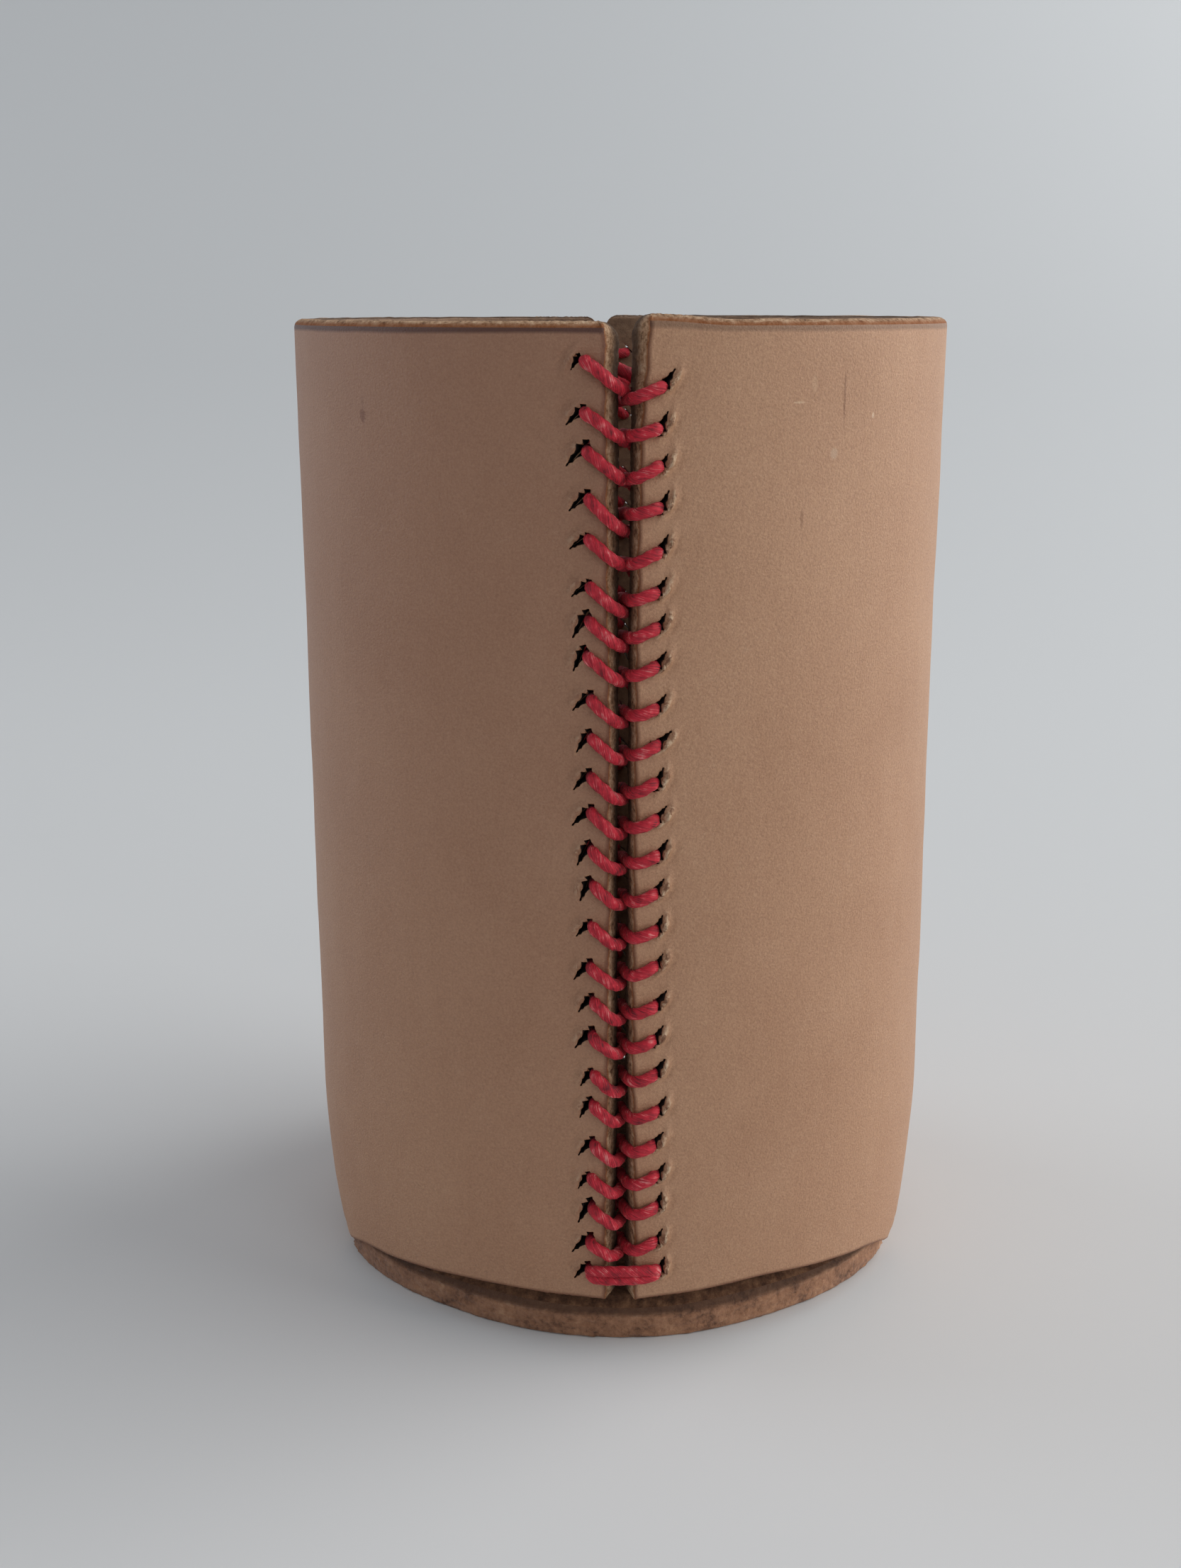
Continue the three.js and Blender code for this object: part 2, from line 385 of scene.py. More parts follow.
def makeWall(name, materials, leftTable, rightTable, rimDrop, cornerRise, hemLift, burnishAndShade, seed):
    # the wall on the -X side; its front edge is laced as a left edge, its back edge as a right one
    rng = np.random.default_rng(seed)
    total, t = plan["length"], cup["leather"]

    nearEdge = np.array([0, 0.1, 0.2, 0.3, 0.5] + list(np.arange(0.75, wall["fineReach"], wall["fineCell"])))
    reach = nearEdge[-1]
    between = int((total - 2 * reach) / wall["coarseCell"])
    start = 2.0 + reach
    columns = np.concatenate([
        2.0 + nearEdge, np.linspace(start, total - start, between + 1)[1:-1], (total - 2.0 - nearEdge)[::-1],
    ])
    ends = sectionEnd(columns, hemLift)

    topRows = np.array([0, 0.1, 0.22, 0.36, 0.52, 0.7, 0.95, 1.25, 1.6])
    straightEnd = cup["height"] - 24
    bodyRows = np.arange(topRows[-1] + wall["rowCell"], straightEnd, wall["rowCell"])
    lowEnd = np.array([0.9, 0.6, 0.3, 0.2, 0.1, 0])
    lowCount = int(24 / wall["rowCell"])
    places = []
    for end in ends:
        low = np.linspace(straightEnd, end - lowEnd[0], lowCount + 1)[:-1]
        places.append(np.concatenate([topRows, bodyRows, low, end - lowEnd]))
    places = np.array(places)

    ni, nj, nk = places.shape[0] - 1, places.shape[1] - 1, wall["layers"]
    i, j, k, faces, zones = blockSkin((ni, nj, nk))
    outside, inside = k == 0, k == nk
    atRim, atHem = j == 0, j == nj

    # rounded rim and hem
    s = places[i, j]
    d = t * k / nk
    s, d = roundEdge(s, d, atRim, outside, wall["rim"])
    s, rest = roundEdge(s, t - d, atRim, inside, wall["rimInside"])
    d = t - rest
    b, d = roundEdge(ends[i] - s, d, atHem, outside, wall["hem"])
    s = ends[i] - b
    fromRim, fromHem = s.copy(), b.copy()
    rise = cornerRise * (1 - smooth(total - columns[i], 2.5, 11))
    s = s + (rimDrop - rise) * (1 - smooth(s, 0, 7))
    z = np.interp(s, section["s"], section["z"])

    # rounded edges of the grooves, and where they run
    sides = {}
    for front in (True, False):
        steps = i if front else ni - i
        p = np.interp(steps, np.arange(len(nearEdge)), nearEdge)
        onFace = steps == 0
        p, d = roundEdge(p, d, onFace, outside, wall["edge"])
        p, rest = roundEdge(p, t - d, onFace, inside, wall["edge"])
        d = t - rest
        share = np.clip(d / t, 0, 1)
        corner = seam["grainCorner"] + (seam["fleshCorner"] - seam["grainCorner"]) * share
        dip = np.clip(corner - fromRim, 0, corner)
        flare = corner - np.sqrt(np.maximum(corner ** 2 - dip ** 2, 0))
        wobble = 0.08 * waviness(z, z * 0, rng, 9.0, 5)
        pulls = 0.09 * np.cos(2 * math.pi * (z - seam["first"]) / seam["pitch"]) * (1 - share)
        rough = np.where(onFace, rng.normal(0, 0.035, len(p)), 0)
        near = 0 if front else edgeShift(z, share)
        sides[front] = {"away": p, "place": halfGroove(z, share) + near + flare + wobble + pulls + p + rough}

    first, last = len(nearEdge) - 1, ni - len(nearEdge) + 1
    grain = halfGroove(z) + reach
    share = np.clip((i - first) / (last - first), 0, 1)
    a = grain + (total + seam["rightIn"] - 2 * grain) * share
    a = np.where(i <= first, sides[True]["place"], a)
    a = np.where(i >= last, total - sides[False]["place"], a)

    # lips and dents round the slits, and the leather's own slight unevenness
    lift = 0.05 * waviness(a, z, rng, 26.0) + 0.015 * waviness(a, z, rng, 7.0)
    nearFront, nearBack = outside & (i < first), outside & (i > last)
    lift[nearFront] += slitRelief(sides[True]["away"][nearFront], z[nearFront], leftTable, "L")
    lift[nearBack] += slitRelief(sides[False]["away"][nearBack], z[nearBack], rightTable, "R")
    frayed = np.where(atRim | atHem, rng.normal(0, 0.035, len(s)), 0)
    points = blankPoint(a, s + frayed, d - lift * (1 - d / t))

    # the bevelled top of the rim shows cut fibres
    onBevel = (zones == 0) & (fromRim[faces].max(1) < 0.75)
    zones = np.where(onBevel, 1, zones)

    obj = meshObject(name, points, faces.tolist(), materials, zones)
    fromCut = np.minimum(np.minimum(sides[True]["away"], sides[False]["away"]), np.minimum(fromRim, fromHem))
    storeOn(obj, "fromCut", np.maximum(fromCut, 0))
    storeOn(obj, "intoLeather", d)
    storeOn(obj, "fromRim", fromRim)
    storeOn(obj, "raised", np.where(outside, lift, 0))
    storeOn(obj, "burnishAndShade", np.full(len(d), burnishAndShade))
    # painted shade: the left wall, turned away from the light, is darkened most near the rim; the right one only a
    # little, near the base
    storeOn(obj, "paintedWallShade", 0.5 * burnishAndShade - 0.14 + 0.36 * (burnishAndShade - 0.55) * (2 * z / cup["height"] - 1))
    return obj


def turnHalf(obj):
    coords = np.empty(len(obj.data.vertices) * 3)
    obj.data.vertices.foreach_get("co", coords)
    coords = coords.reshape(-1, 3) * np.array([-1, -1, 1])
    obj.data.vertices.foreach_set("co", coords.ravel())
    obj.data.update()


def settle(obj):
    # the two halves aren't quite alike: the back seam has crept and closed up a little, and the
    # cup leans out a trace at its lower right
    coords = np.empty(len(obj.data.vertices) * 3)
    obj.data.vertices.foreach_get("co", coords)
    coords = coords.reshape(-1, 3) / mm
    x, y, z = coords.T.copy()
    atBack = smooth(y, 17, cup["radius"])
    x = x * (1 - seam["backClose"] * atBack * np.exp(-(x / 4) ** 2))
    x = x - seam["backShift"] * atBack
    x = x + seam["lowerLean"] * smooth(x, 0, cup["radius"]) * (1 - smooth(z, 15, 85)) * smooth(z, 0, 4)
    coords[:, 0] = x
    obj.data.vertices.foreach_set("co", (coords * mm).ravel())
    obj.data.update()


slit = {"length": 3.0, "width": 0.62, "cut": 6.0, "ragged": 6.0}


def slitPoints(name, leftTable, rightTable):
    # a point in the leather for each slit of one wall, with its turn and its size
    spots, turns, grows = [], [], []
    for table, letter in ((leftTable, "L"), (rightTable, "R")):
        for row in range(seam["rows"]):
            z = table["z" + letter][row] + table["lift" + letter][row]
            across = table["slit" + letter][row]
            a = across if letter == "L" else plan["length"] - across
            s = np.interp(-z, -section["z"], section["s"])
            spots.append(blankPoint(np.array(a), np.array(s), np.array(cup["leather"] / 2)))
            heading = float(np.interp(a, plan["a"], plan["heading"]))
            out = Vector((-math.sin(heading), -math.cos(heading), 0))
            right = Vector((0, 0, 1)).cross(out)
            tilt = table["tilt" + letter][row]
            long = Vector((0, 0, 1)) * math.cos(tilt) + right * math.sin(tilt)
            # the slit is widest where the thread comes out: at its top on the left edge
            long = long if letter == "L" else -long
            axes = Matrix((long, out.cross(long), out)).transposed()
            turns.append(tuple(axes.to_euler()))
            grows.append(table["grow" + letter][row])
    obj = meshObject(name, spots, [])
    layer = obj.data.attributes.new("turn", "FLOAT_VECTOR", "POINT")
    layer.data.foreach_set("vector", np.array(turns, dtype=np.float32).ravel())
    storeOn(obj, "grow", grows)
    return obj


def slitTree():
    # knife slits: a tear-shaped cutter on each point, all cut from the wall at once
    tree, given = newTree("cutSlits", {
        "Slit points": "NodeSocketObject", "Length": "NodeSocketFloat", "Width": "NodeSocketFloat",
        "Depth": "NodeSocketFloat", "Ragged": "NodeSocketFloat", "Slit wall": "NodeSocketMaterial",
    })
    spots = addNode(tree, "GeometryNodeObjectInfo", {"Object": given["Slit points"]}, "Geometry")
    blade = addNode(tree, "GeometryNodeMeshCylinder",
                    {"Vertices": 26, "Side Segments": 6, "Radius": 0.5, "Depth": given["Depth"]}, "Mesh")
    place = addNode(tree, "GeometryNodeInputPosition")
    parts = addNode(tree, "ShaderNodeSeparateXYZ", {0: place}, None)
    taper = addNode(tree, "ShaderNodeMath", {0: parts.outputs["X"], 1: 0.75, 2: 0.62}, operation="MULTIPLY_ADD")
    deep = addNode(tree, "ShaderNodeMath", {0: parts.outputs["Z"], 1: given["Depth"]}, operation="DIVIDE")
    deep = addNode(tree, "ShaderNodeMapRange", {0: deep, 1: -0.24, 2: 0.26, 3: 0.1, 4: 1.0})
    taper = addNode(tree, "ShaderNodeMath", {0: taper, 1: deep}, operation="MULTIPLY")
    width = addNode(tree, "ShaderNodeMath", {0: taper, 1: given["Width"]}, operation="MULTIPLY")
    x = addNode(tree, "ShaderNodeMath", {0: parts.outputs["X"], 1: given["Length"]}, operation="MULTIPLY")
    y = addNode(tree, "ShaderNodeMath", {0: parts.outputs["Y"], 1: width}, operation="MULTIPLY")
    y = addNode(tree, "ShaderNodeMath", {0: y, 1: 2.0}, operation="MULTIPLY")
    # dry leather tears along the cut; it never crosses the slit's own line
    outline = addNode(tree, "ShaderNodeCombineXYZ", {"X": parts.outputs["X"], "Y": parts.outputs["Y"]})
    tear = addNode(tree, "ShaderNodeTexNoise", {"Vector": outline, "Scale": 9.0, "Detail": 2.0}, 0)
    tear = addNode(tree, "ShaderNodeMath", {0: tear, 1: 0.5}, operation="SUBTRACT")
    tear = addNode(tree, "ShaderNodeMath", {0: tear, 1: given["Ragged"], 2: 1.0}, operation="MULTIPLY_ADD")
    tear = addNode(tree, "ShaderNodeMath", {0: tear, 1: 0.2}, operation="MAXIMUM")
    y = addNode(tree, "ShaderNodeMath", {0: y, 1: tear}, operation="MULTIPLY")
    shaped = addNode(tree, "ShaderNodeCombineXYZ", {"X": x, "Y": y, "Z": parts.outputs["Z"]})
    blade = addNode(tree, "GeometryNodeSetPosition", {"Geometry": blade, "Position": shaped})
    mark = addNode(tree, "GeometryNodeStoreNamedAttribute", {"Geometry": blade, "Name": "slitWall", "Value": 1.0},
                   data_type="FLOAT", domain="FACE")
    turn = addNode(tree, "GeometryNodeInputNamedAttribute", {"Name": "turn"}, data_type="FLOAT_VECTOR")
    grow = addNode(tree, "GeometryNodeInputNamedAttribute", {"Name": "grow"}, data_type="FLOAT")
    turn = addNode(tree, "FunctionNodeEulerToRotation", {0: turn})
    blades = addNode(tree, "GeometryNodeInstanceOnPoints",
                     {"Points": spots, "Instance": mark, "Rotation": turn, "Scale": grow})
    blades = addNode(tree, "GeometryNodeRealizeInstances", {"Geometry": blades})
    cut = addNode(tree, "GeometryNodeMeshBoolean", {"Mesh 1": given["Geometry"], "Mesh 2": blades},
                  operation="DIFFERENCE", solver="EXACT")
    isWall = addNode(tree, "GeometryNodeInputNamedAttribute", {"Name": "slitWall"}, data_type="FLOAT")
    isWall = addNode(tree, "FunctionNodeCompare", {0: isWall, 1: 0.5}, operation="GREATER_THAN")
    real = addNode(tree, "GeometryNodeRealizeInstances", {"Geometry": cut})
    done = addNode(tree, "GeometryNodeSetMaterial",
                   {"Geometry": real, "Selection": isWall, "Material": given["Slit wall"]})
    addNode(tree, "NodeGroupOutput", {0: done}, None)
    return tree


# ---- the base

base = {"rounding": 0.35, "layers": 9, "around": 360, "rings": 34, "bulge": 1.3, "neckHalf": 13.4, "swell": 1.7}


def makeBase(name, materials):
    rng = np.random.default_rng(31)
    t, fold = cup["leather"], cup["fold"]
    # the outline: a circle that swells a little towards the necks and steps in to the folds
    flatHalf = math.asin(base["neckHalf"] / (cup["baseRadius"] + base["bulge"]))
    arcs = [np.linspace(flatHalf, math.pi - flatHalf, base["around"] // 2, endpoint=False)]
    arcs.append(np.linspace(math.pi - flatHalf, math.pi + flatHalf, 24, endpoint=False))
    arcs.append(arcs[0] + math.pi)
    arcs.append(np.linspace(-flatHalf, flatHalf, 24, endpoint=False))
    angle = np.concatenate(arcs)
    fromFold = np.abs(np.cos(angle))
    round_ = cup["baseRadius"] - 0.05 + base["bulge"] * smooth(fromFold, 0.55, 0.93)
    round_ = round_ + 0.1 * waviness(angle * 34, angle * 0, rng, 16.0, 6)
    onFold = fromFold > math.cos(flatHalf + 1e-6)
    radius = np.where(onFold, np.minimum(round_, fold / fromFold.clip(0.2)), round_)

    # one section from the middle of the top, over the edge, to the middle of the underside
    inner = np.linspace(0, 1, base["rings"])[1:] ** 0.8
    bevel = np.array([0.3, 0.2, 0.1, 0])
    flat = inner * (1 - 0.6 / cup["baseRadius"])
    path = [("top", f, 0.0) for f in flat]
    path += [("top", 1.0, e) for e in bevel]
    path += [("side", 1.0, e) for e in np.concatenate([[0.1, 0.2, 0.3], np.linspace(0.6, t - 0.6, base["layers"]), [t - 0.3, t - 0.2, t - 0.1]])]
    path += [("under", 1.0, e) for e in bevel[::-1]]
    path += [("under", f, 0.0) for f in flat[::-1]]
    rings, zones = [], []
    for kind, share, e in path:
        r = radius * share
        depth = np.full_like(r, 0.0 if kind == "top" else t)
        inset = np.full_like(r, e if share == 1.0 and kind != "side" else 0.0)
        if kind == "side":
            depth = np.full_like(r, e)
        if share == 1.0:
            onTop, onSide = np.full(r.shape, kind != "side"), np.full(r.shape, kind == "side")
            away = depth if kind != "under" else t - depth
            upper = depth < t / 2
            q = np.where(upper, depth, t - depth)
            inset, q = roundEdge(inset, q, onSide, onTop, base["rounding"])
            depth = np.where(upper, q, t - q)
            fray = rng.normal(0, 0.05, r.shape) * (1 if kind == "side" else 0.4)
            fray = fray + 0.05 * waviness(angle * 34, depth * 3, rng, 2.5, 5)
            inset = inset + np.where(onFold, 0, fray)
        r = r - inset
        z = t - depth
        sag = 0.05 * waviness(r * np.cos(angle), r * np.sin(angle), np.random.default_rng(5), 22.0)
        # the walls press the soft flesh side, and it swells up under their hems
        swell = base["swell"] * smooth(r, 27, 33) * (1 - smooth(r, 33.4, radius - 0.1))
        swell = swell * (1 - smooth(fromFold, 0.8, 0.95))
        z = z + np.where(kind == "top", swell + (sag if share < 1 else 0), 0)
        rings.append(np.stack([r * np.cos(angle), r * np.sin(angle), np.maximum(z, 0)], -1))
        zones.append({"top": 2, "side": 1, "under": 0}[kind] if share < 1 else 1)
    count = len(angle)
    points = [np.array([[0, 0, t]])] + rings + [np.array([[0, 0, 0]])]
    offsets = 1 + count * np.arange(len(rings))
    lastPoint = 1 + count * len(rings)
    faces, slots = [], []
    steps = np.arange(count)
    after = (steps + 1) % count
    faces += np.stack([np.zeros(count, dtype=int), offsets[0] + steps, offsets[0] + after], -1).tolist()
    slots += [2] * count
    for n in range(len(rings) - 1):
        quads = np.stack([offsets[n] + steps, offsets[n + 1] + steps, offsets[n + 1] + after, offsets[n] + after], -1)
        faces += quads.tolist()
        slots += [zones[n + 1] if zones[n] != 2 or zones[n + 1] == 2 else 1] * count
    faces += np.stack([np.full(count, lastPoint), offsets[-1] + after, offsets[-1] + steps], -1).tolist()
    slots += [0] * count
    obj = meshObject(name, np.concatenate(points), faces, materials, slots)
    xyz = np.concatenate(points)
    outline = np.interp(np.arctan2(xyz[:, 1], xyz[:, 0]), np.sort(np.arctan2(np.sin(angle), np.cos(angle))),
                        radius[np.argsort(np.arctan2(np.sin(angle), np.cos(angle)))])
    storeOn(obj, "fromCut", np.clip(outline - np.hypot(xyz[:, 0], xyz[:, 1]), 0, 20))
    storeOn(obj, "intoLeather", xyz[:, 2])
    return obj


# ---- the lacing

lacing = {
    "radius": 0.66,
    "lay": 4.2,            # one full turn of the strands, in mm of thread
    "lobe": 0.045,
    "step": 0.3,
    "around": 12,
    "uneven": 0.05,
    "exitInL": 0.95,       # the thread comes out on the seam's side of each slit
    "exitInR": 0.5,
    # one crossing: share of the way out to the slit, height over the grain, share of the drop
    "crossing": [
        (1.00, -1.60, 0.00), (1.00, -0.35, 0.00), (0.94, 0.40, 0.05), (0.76, 0.60, 0.22),
        (0.56, 0.58, 0.43), (0.38, 0.28, 0.64), (0.20, -0.95, 0.84), (0.07, -2.60, 0.97),
        (-0.08, -4.00, 1.03), (-0.30, -4.50, 1.14), (-0.60, -4.30, 1.50), (-0.88, -4.05, 1.86),
        (-0.99, -3.20, 1.98),
    ],
    # half of the bar inside the first row, from the middle outwards
    "startBar": [(0.0, -4.05, 0.0), (0.35, -4.05, 0.0), (0.68, -4.05, 0.0), (0.92, -3.9, 0.0), (1.0, -3.1, 0.0)],
    # the bar outside the last row; the third number is how far the two strands lie apart
    "closingBar": [
        (1.00, -1.60, 0.0), (1.00, -0.30, 0.1), (0.92, 0.45, 0.7), (0.6, 0.66, 1.0), (0.2, 0.62, 1.0),
        (-0.2, 0.62, 1.0), (-0.6, 0.66, 1.0), (-0.93, 0.4, 0.7), (-1.0, -0.35, 0.1), (-1.0, -1.7, 0.0),
        (-1.0, -3.1, 0.0), (-0.85, -4.0, 0.0), (-0.5, -4.1, 0.0),
    ],
}


def lacingTree():
    # one thread for a whole seam. Every point of its path knows its row and its place in the
    # stitch, so the rows' own numbers and one stitch's shape give the whole route.
    tree, given = newTree("laceSeam", {
        "Stitch shape": "NodeSocketObject", "Per crossing": "NodeSocketInt", "Start points": "NodeSocketInt",
        "Closing points": "NodeSocketInt", "Rows": "NodeSocketInt", "Thread radius": "NodeSocketFloat",
        "Lay": "NodeSocketFloat", "Lobe": "NodeSocketFloat", "Step": "NodeSocketFloat",
        "Around": "NodeSocketInt", "Uneven": "NodeSocketFloat", "Seed": "NodeSocketInt",
        "Seam front": "NodeSocketFloat", "Ridge": "NodeSocketFloat", "Thread": "NodeSocketMaterial",
    })
    rowsIn = given["Geometry"]
    shape = addNode(tree, "GeometryNodeObjectInfo", {"Object": given["Stitch shape"]}, "Geometry")

    # how many points there are on each side of the middle of the starting bar
    gaps = addNode(tree, "ShaderNodeMath", {0: given["Rows"], 1: 1.0}, operation="SUBTRACT")
    laced = addNode(tree, "ShaderNodeMath", {0: gaps, 1: given["Per crossing"]}, operation="MULTIPLY")
    half = addNode(tree, "ShaderNodeMath", {0: laced, 1: given["Start points"]}, operation="ADD")
    half = addNode(tree, "ShaderNodeMath", {0: half, 1: given["Closing points"]}, operation="ADD")
    half = addNode(tree, "ShaderNodeMath", {0: half, 1: 1.0}, operation="SUBTRACT")
    count = addNode(tree, "ShaderNodeMath", {0: half, 1: 2.0, 2: 1.0}, operation="MULTIPLY_ADD")
    line = addNode(tree, "GeometryNodeMeshLine", {"Count": count})

    index = addNode(tree, "GeometryNodeInputIndex")
    j = addNode(tree, "ShaderNodeMath", {0: index, 1: half}, operation="SUBTRACT")
    far = addNode(tree, "ShaderNodeMath", {0: j}, operation="ABSOLUTE")
    hand = addNode(tree, "ShaderNodeMath", {0: j}, operation="SIGN")
    u = addNode(tree, "ShaderNodeMath", {0: far, 1: given["Start points"]}, operation="SUBTRACT")
    inBar = addNode(tree, "FunctionNodeCompare", {0: u, 1: -0.5}, operation="LESS_THAN")
    inClose = addNode(tree, "ShaderNodeMath", {0: laced, 1: 0.5}, operation="SUBTRACT")
    inClose = addNode(tree, "FunctionNodeCompare", {0: u, 1: inClose}, operation="GREATER_THAN")
    lacedU = addNode(tree, "ShaderNodeMath", {0: u, 1: 0.0}, operation="MAXIMUM")
    row = addNode(tree, "ShaderNodeMath", {0: lacedU, 1: 0.5}, operation="ADD")
    row = addNode(tree, "ShaderNodeMath", {0: row, 1: given["Per crossing"]}, operation="DIVIDE")
    row = addNode(tree, "ShaderNodeMath", {0: row}, operation="FLOOR")
    row = addNode(tree, "ShaderNodeMath", {0: row, 1: gaps}, operation="MINIMUM")
    nextRow = addNode(tree, "ShaderNodeMath", {0: row, 1: 1.0}, operation="ADD")
    nextRow = addNode(tree, "ShaderNodeMath", {0: nextRow, 1: gaps}, operation="MINIMUM")
    rowStart = addNode(tree, "ShaderNodeMath", {0: row, 1: given["Per crossing"]}, operation="MULTIPLY")
    place = addNode(tree, "ShaderNodeMath", {0: lacedU, 1: rowStart}, operation="SUBTRACT")

    # the stitch shape object holds the crossing, then the start bar, then the closing bar
    barPlace = addNode(tree, "ShaderNodeMath", {0: far, 1: given["Per crossing"]}, operation="ADD")
    closePlace = addNode(tree, "ShaderNodeMath", {0: place, 1: given["Per crossing"]}, operation="ADD")
    closePlace = addNode(tree, "ShaderNodeMath", {0: closePlace, 1: given["Start points"]}, operation="ADD")
    sample = addNode(tree, "GeometryNodeSwitch", {"Switch": inBar, "False": place, "True": barPlace}, input_type="FLOAT")
    sample = addNode(tree, "GeometryNodeSwitch", {"Switch": inClose, "False": sample, "True": closePlace}, input_type="FLOAT")
    shapeAt = addNode(tree, "GeometryNodeSampleIndex",
                      {"Geometry": shape, "Value": addNode(tree, "GeometryNodeInputPosition"), "Index": sample},
                      data_type="FLOAT_VECTOR")
    local = addNode(tree, "ShaderNodeSeparateXYZ", {0: shapeAt}, None).outputs

    # which side of the seam this crossing starts from: 1 right, -1 left
    odd = addNode(tree, "ShaderNodeMath", {0: row, 1: 2.0}, operation="FLOORED_MODULO")
    turnSign = addNode(tree, "ShaderNodeMath", {0: odd, 1: -2.0, 2: 1.0}, operation="MULTIPLY_ADD")
    side = addNode(tree, "ShaderNodeMath", {0: hand, 1: turnSign}, operation="MULTIPLY")
    fromRight = addNode(tree, "FunctionNodeCompare", {0: side, 1: 0.0}, operation="GREATER_THAN")

    # the numbers of this row and the next
    def rowValue(name, at):
        value = addNode(tree, "GeometryNodeInputNamedAttribute", {"Name": name}, data_type="FLOAT")
        return addNode(tree, "GeometryNodeSampleIndex", {"Geometry": rowsIn, "Value": value, "Index": at},
                       data_type="FLOAT")

    def bySide(right, left):
        return addNode(tree, "GeometryNodeSwitch", {"Switch": fromRight, "False": left, "True": right},
                       input_type="FLOAT")

    own = bySide(rowValue("exitR", row), rowValue("exitL", row))
    other = bySide(rowValue("exitL", nextRow), rowValue("exitR", nextRow))
    otherHere = bySide(rowValue("exitL", row), rowValue("exitR", row))
    other = addNode(tree, "GeometryNodeSwitch", {"Switch": inClose, "False": other, "True": otherHere}, input_type="FLOAT")
    drop = bySide(rowValue("dropR", row), rowValue("dropL", row))
    proud = bySide(rowValue("proudR", row), rowValue("proudL", row))
    zHere = bySide(rowValue("zR", row), rowValue("zL", row))
    zNext = bySide(rowValue("zL", nextRow), rowValue("zR", nextRow))
    zOther = bySide(rowValue("zL", row), rowValue("zR", row))
    zNext = addNode(tree, "GeometryNodeSwitch", {"Switch": inClose, "False": zNext, "True": zOther}, input_type="FLOAT")

    # across the seam
    outwards = addNode(tree, "ShaderNodeMath", {0: local["X"], 1: 0.0}, operation="MAXIMUM")
    inwards = addNode(tree, "ShaderNodeMath", {0: local["X"], 1: 0.0}, operation="MINIMUM")
    outwards = addNode(tree, "ShaderNodeMath", {0: outwards, 1: own}, operation="MULTIPLY")
    across = addNode(tree, "ShaderNodeMath", {0: inwards, 1: other, 2: outwards}, operation="MULTIPLY_ADD")
    across = addNode(tree, "ShaderNodeMath", {0: across, 1: side}, operation="MULTIPLY")

    # height over the grain: outside, it follows how proud this stitch stands
    isOut = addNode(tree, "FunctionNodeCompare", {0: local["Y"], 1: 0.0}, operation="GREATER_THAN")
    high = addNode(tree, "ShaderNodeMath", {0: proud, 1: 0.6 * mm}, operation="DIVIDE")
    high = addNode(tree, "ShaderNodeMath", {0: local["Y"], 1: high}, operation="MULTIPLY")
    height = addNode(tree, "GeometryNodeSwitch", {"Switch": isOut, "False": local["Y"], "True": high}, input_type="FLOAT")

    # down the seam: first this stitch's own drop, then the rest of the way to the next row
    firstPart = addNode(tree, "ShaderNodeClamp", {"Value": local["Z"], "Min": 0.0, "Max": 1.0})
    secondPart = addNode(tree, "ShaderNodeMath", {0: local["Z"], 1: firstPart}, operation="SUBTRACT")
    step = addNode(tree, "ShaderNodeMath", {0: zHere, 1: zNext}, operation="SUBTRACT")
    rest = addNode(tree, "ShaderNodeMath", {0: step, 1: drop}, operation="SUBTRACT")
    down = addNode(tree, "ShaderNodeMath", {0: firstPart, 1: drop}, operation="MULTIPLY")
    down = addNode(tree, "ShaderNodeMath", {0: secondPart, 1: rest, 2: down}, operation="MULTIPLY_ADD")
    apart = addNode(tree, "ShaderNodeMath", {0: given["Thread radius"], 1: -0.72}, operation="MULTIPLY")
    apart = addNode(tree, "ShaderNodeMath", {0: apart, 1: hand}, operation="MULTIPLY")
    apart = addNode(tree, "ShaderNodeMath", {0: apart, 1: local["Z"]}, operation="MULTIPLY")
    down = addNode(tree, "GeometryNodeSwitch", {"Switch": inClose, "False": down, "True": apart}, input_type="FLOAT")
    # the bars run level with both of their slits
    share = addNode(tree, "ShaderNodeMath", {0: local["X"], 1: -0.5, 2: 0.5}, operation="MULTIPLY_ADD")
    bar = addNode(tree, "ShaderNodeMath", {0: zOther, 1: zHere}, operation="SUBTRACT")
    bar = addNode(tree, "ShaderNodeMath", {0: bar, 1: share, 2: zHere}, operation="MULTIPLY_ADD")
    inEither = addNode(tree, "FunctionNodeBooleanMath", {0: inBar, 1: inClose}, operation="OR")
    start = addNode(tree, "GeometryNodeSwitch", {"Switch": inEither, "False": zHere, "True": bar}, input_type="FLOAT")
    z = addNode(tree, "ShaderNodeMath", {0: start, 1: down}, operation="SUBTRACT")

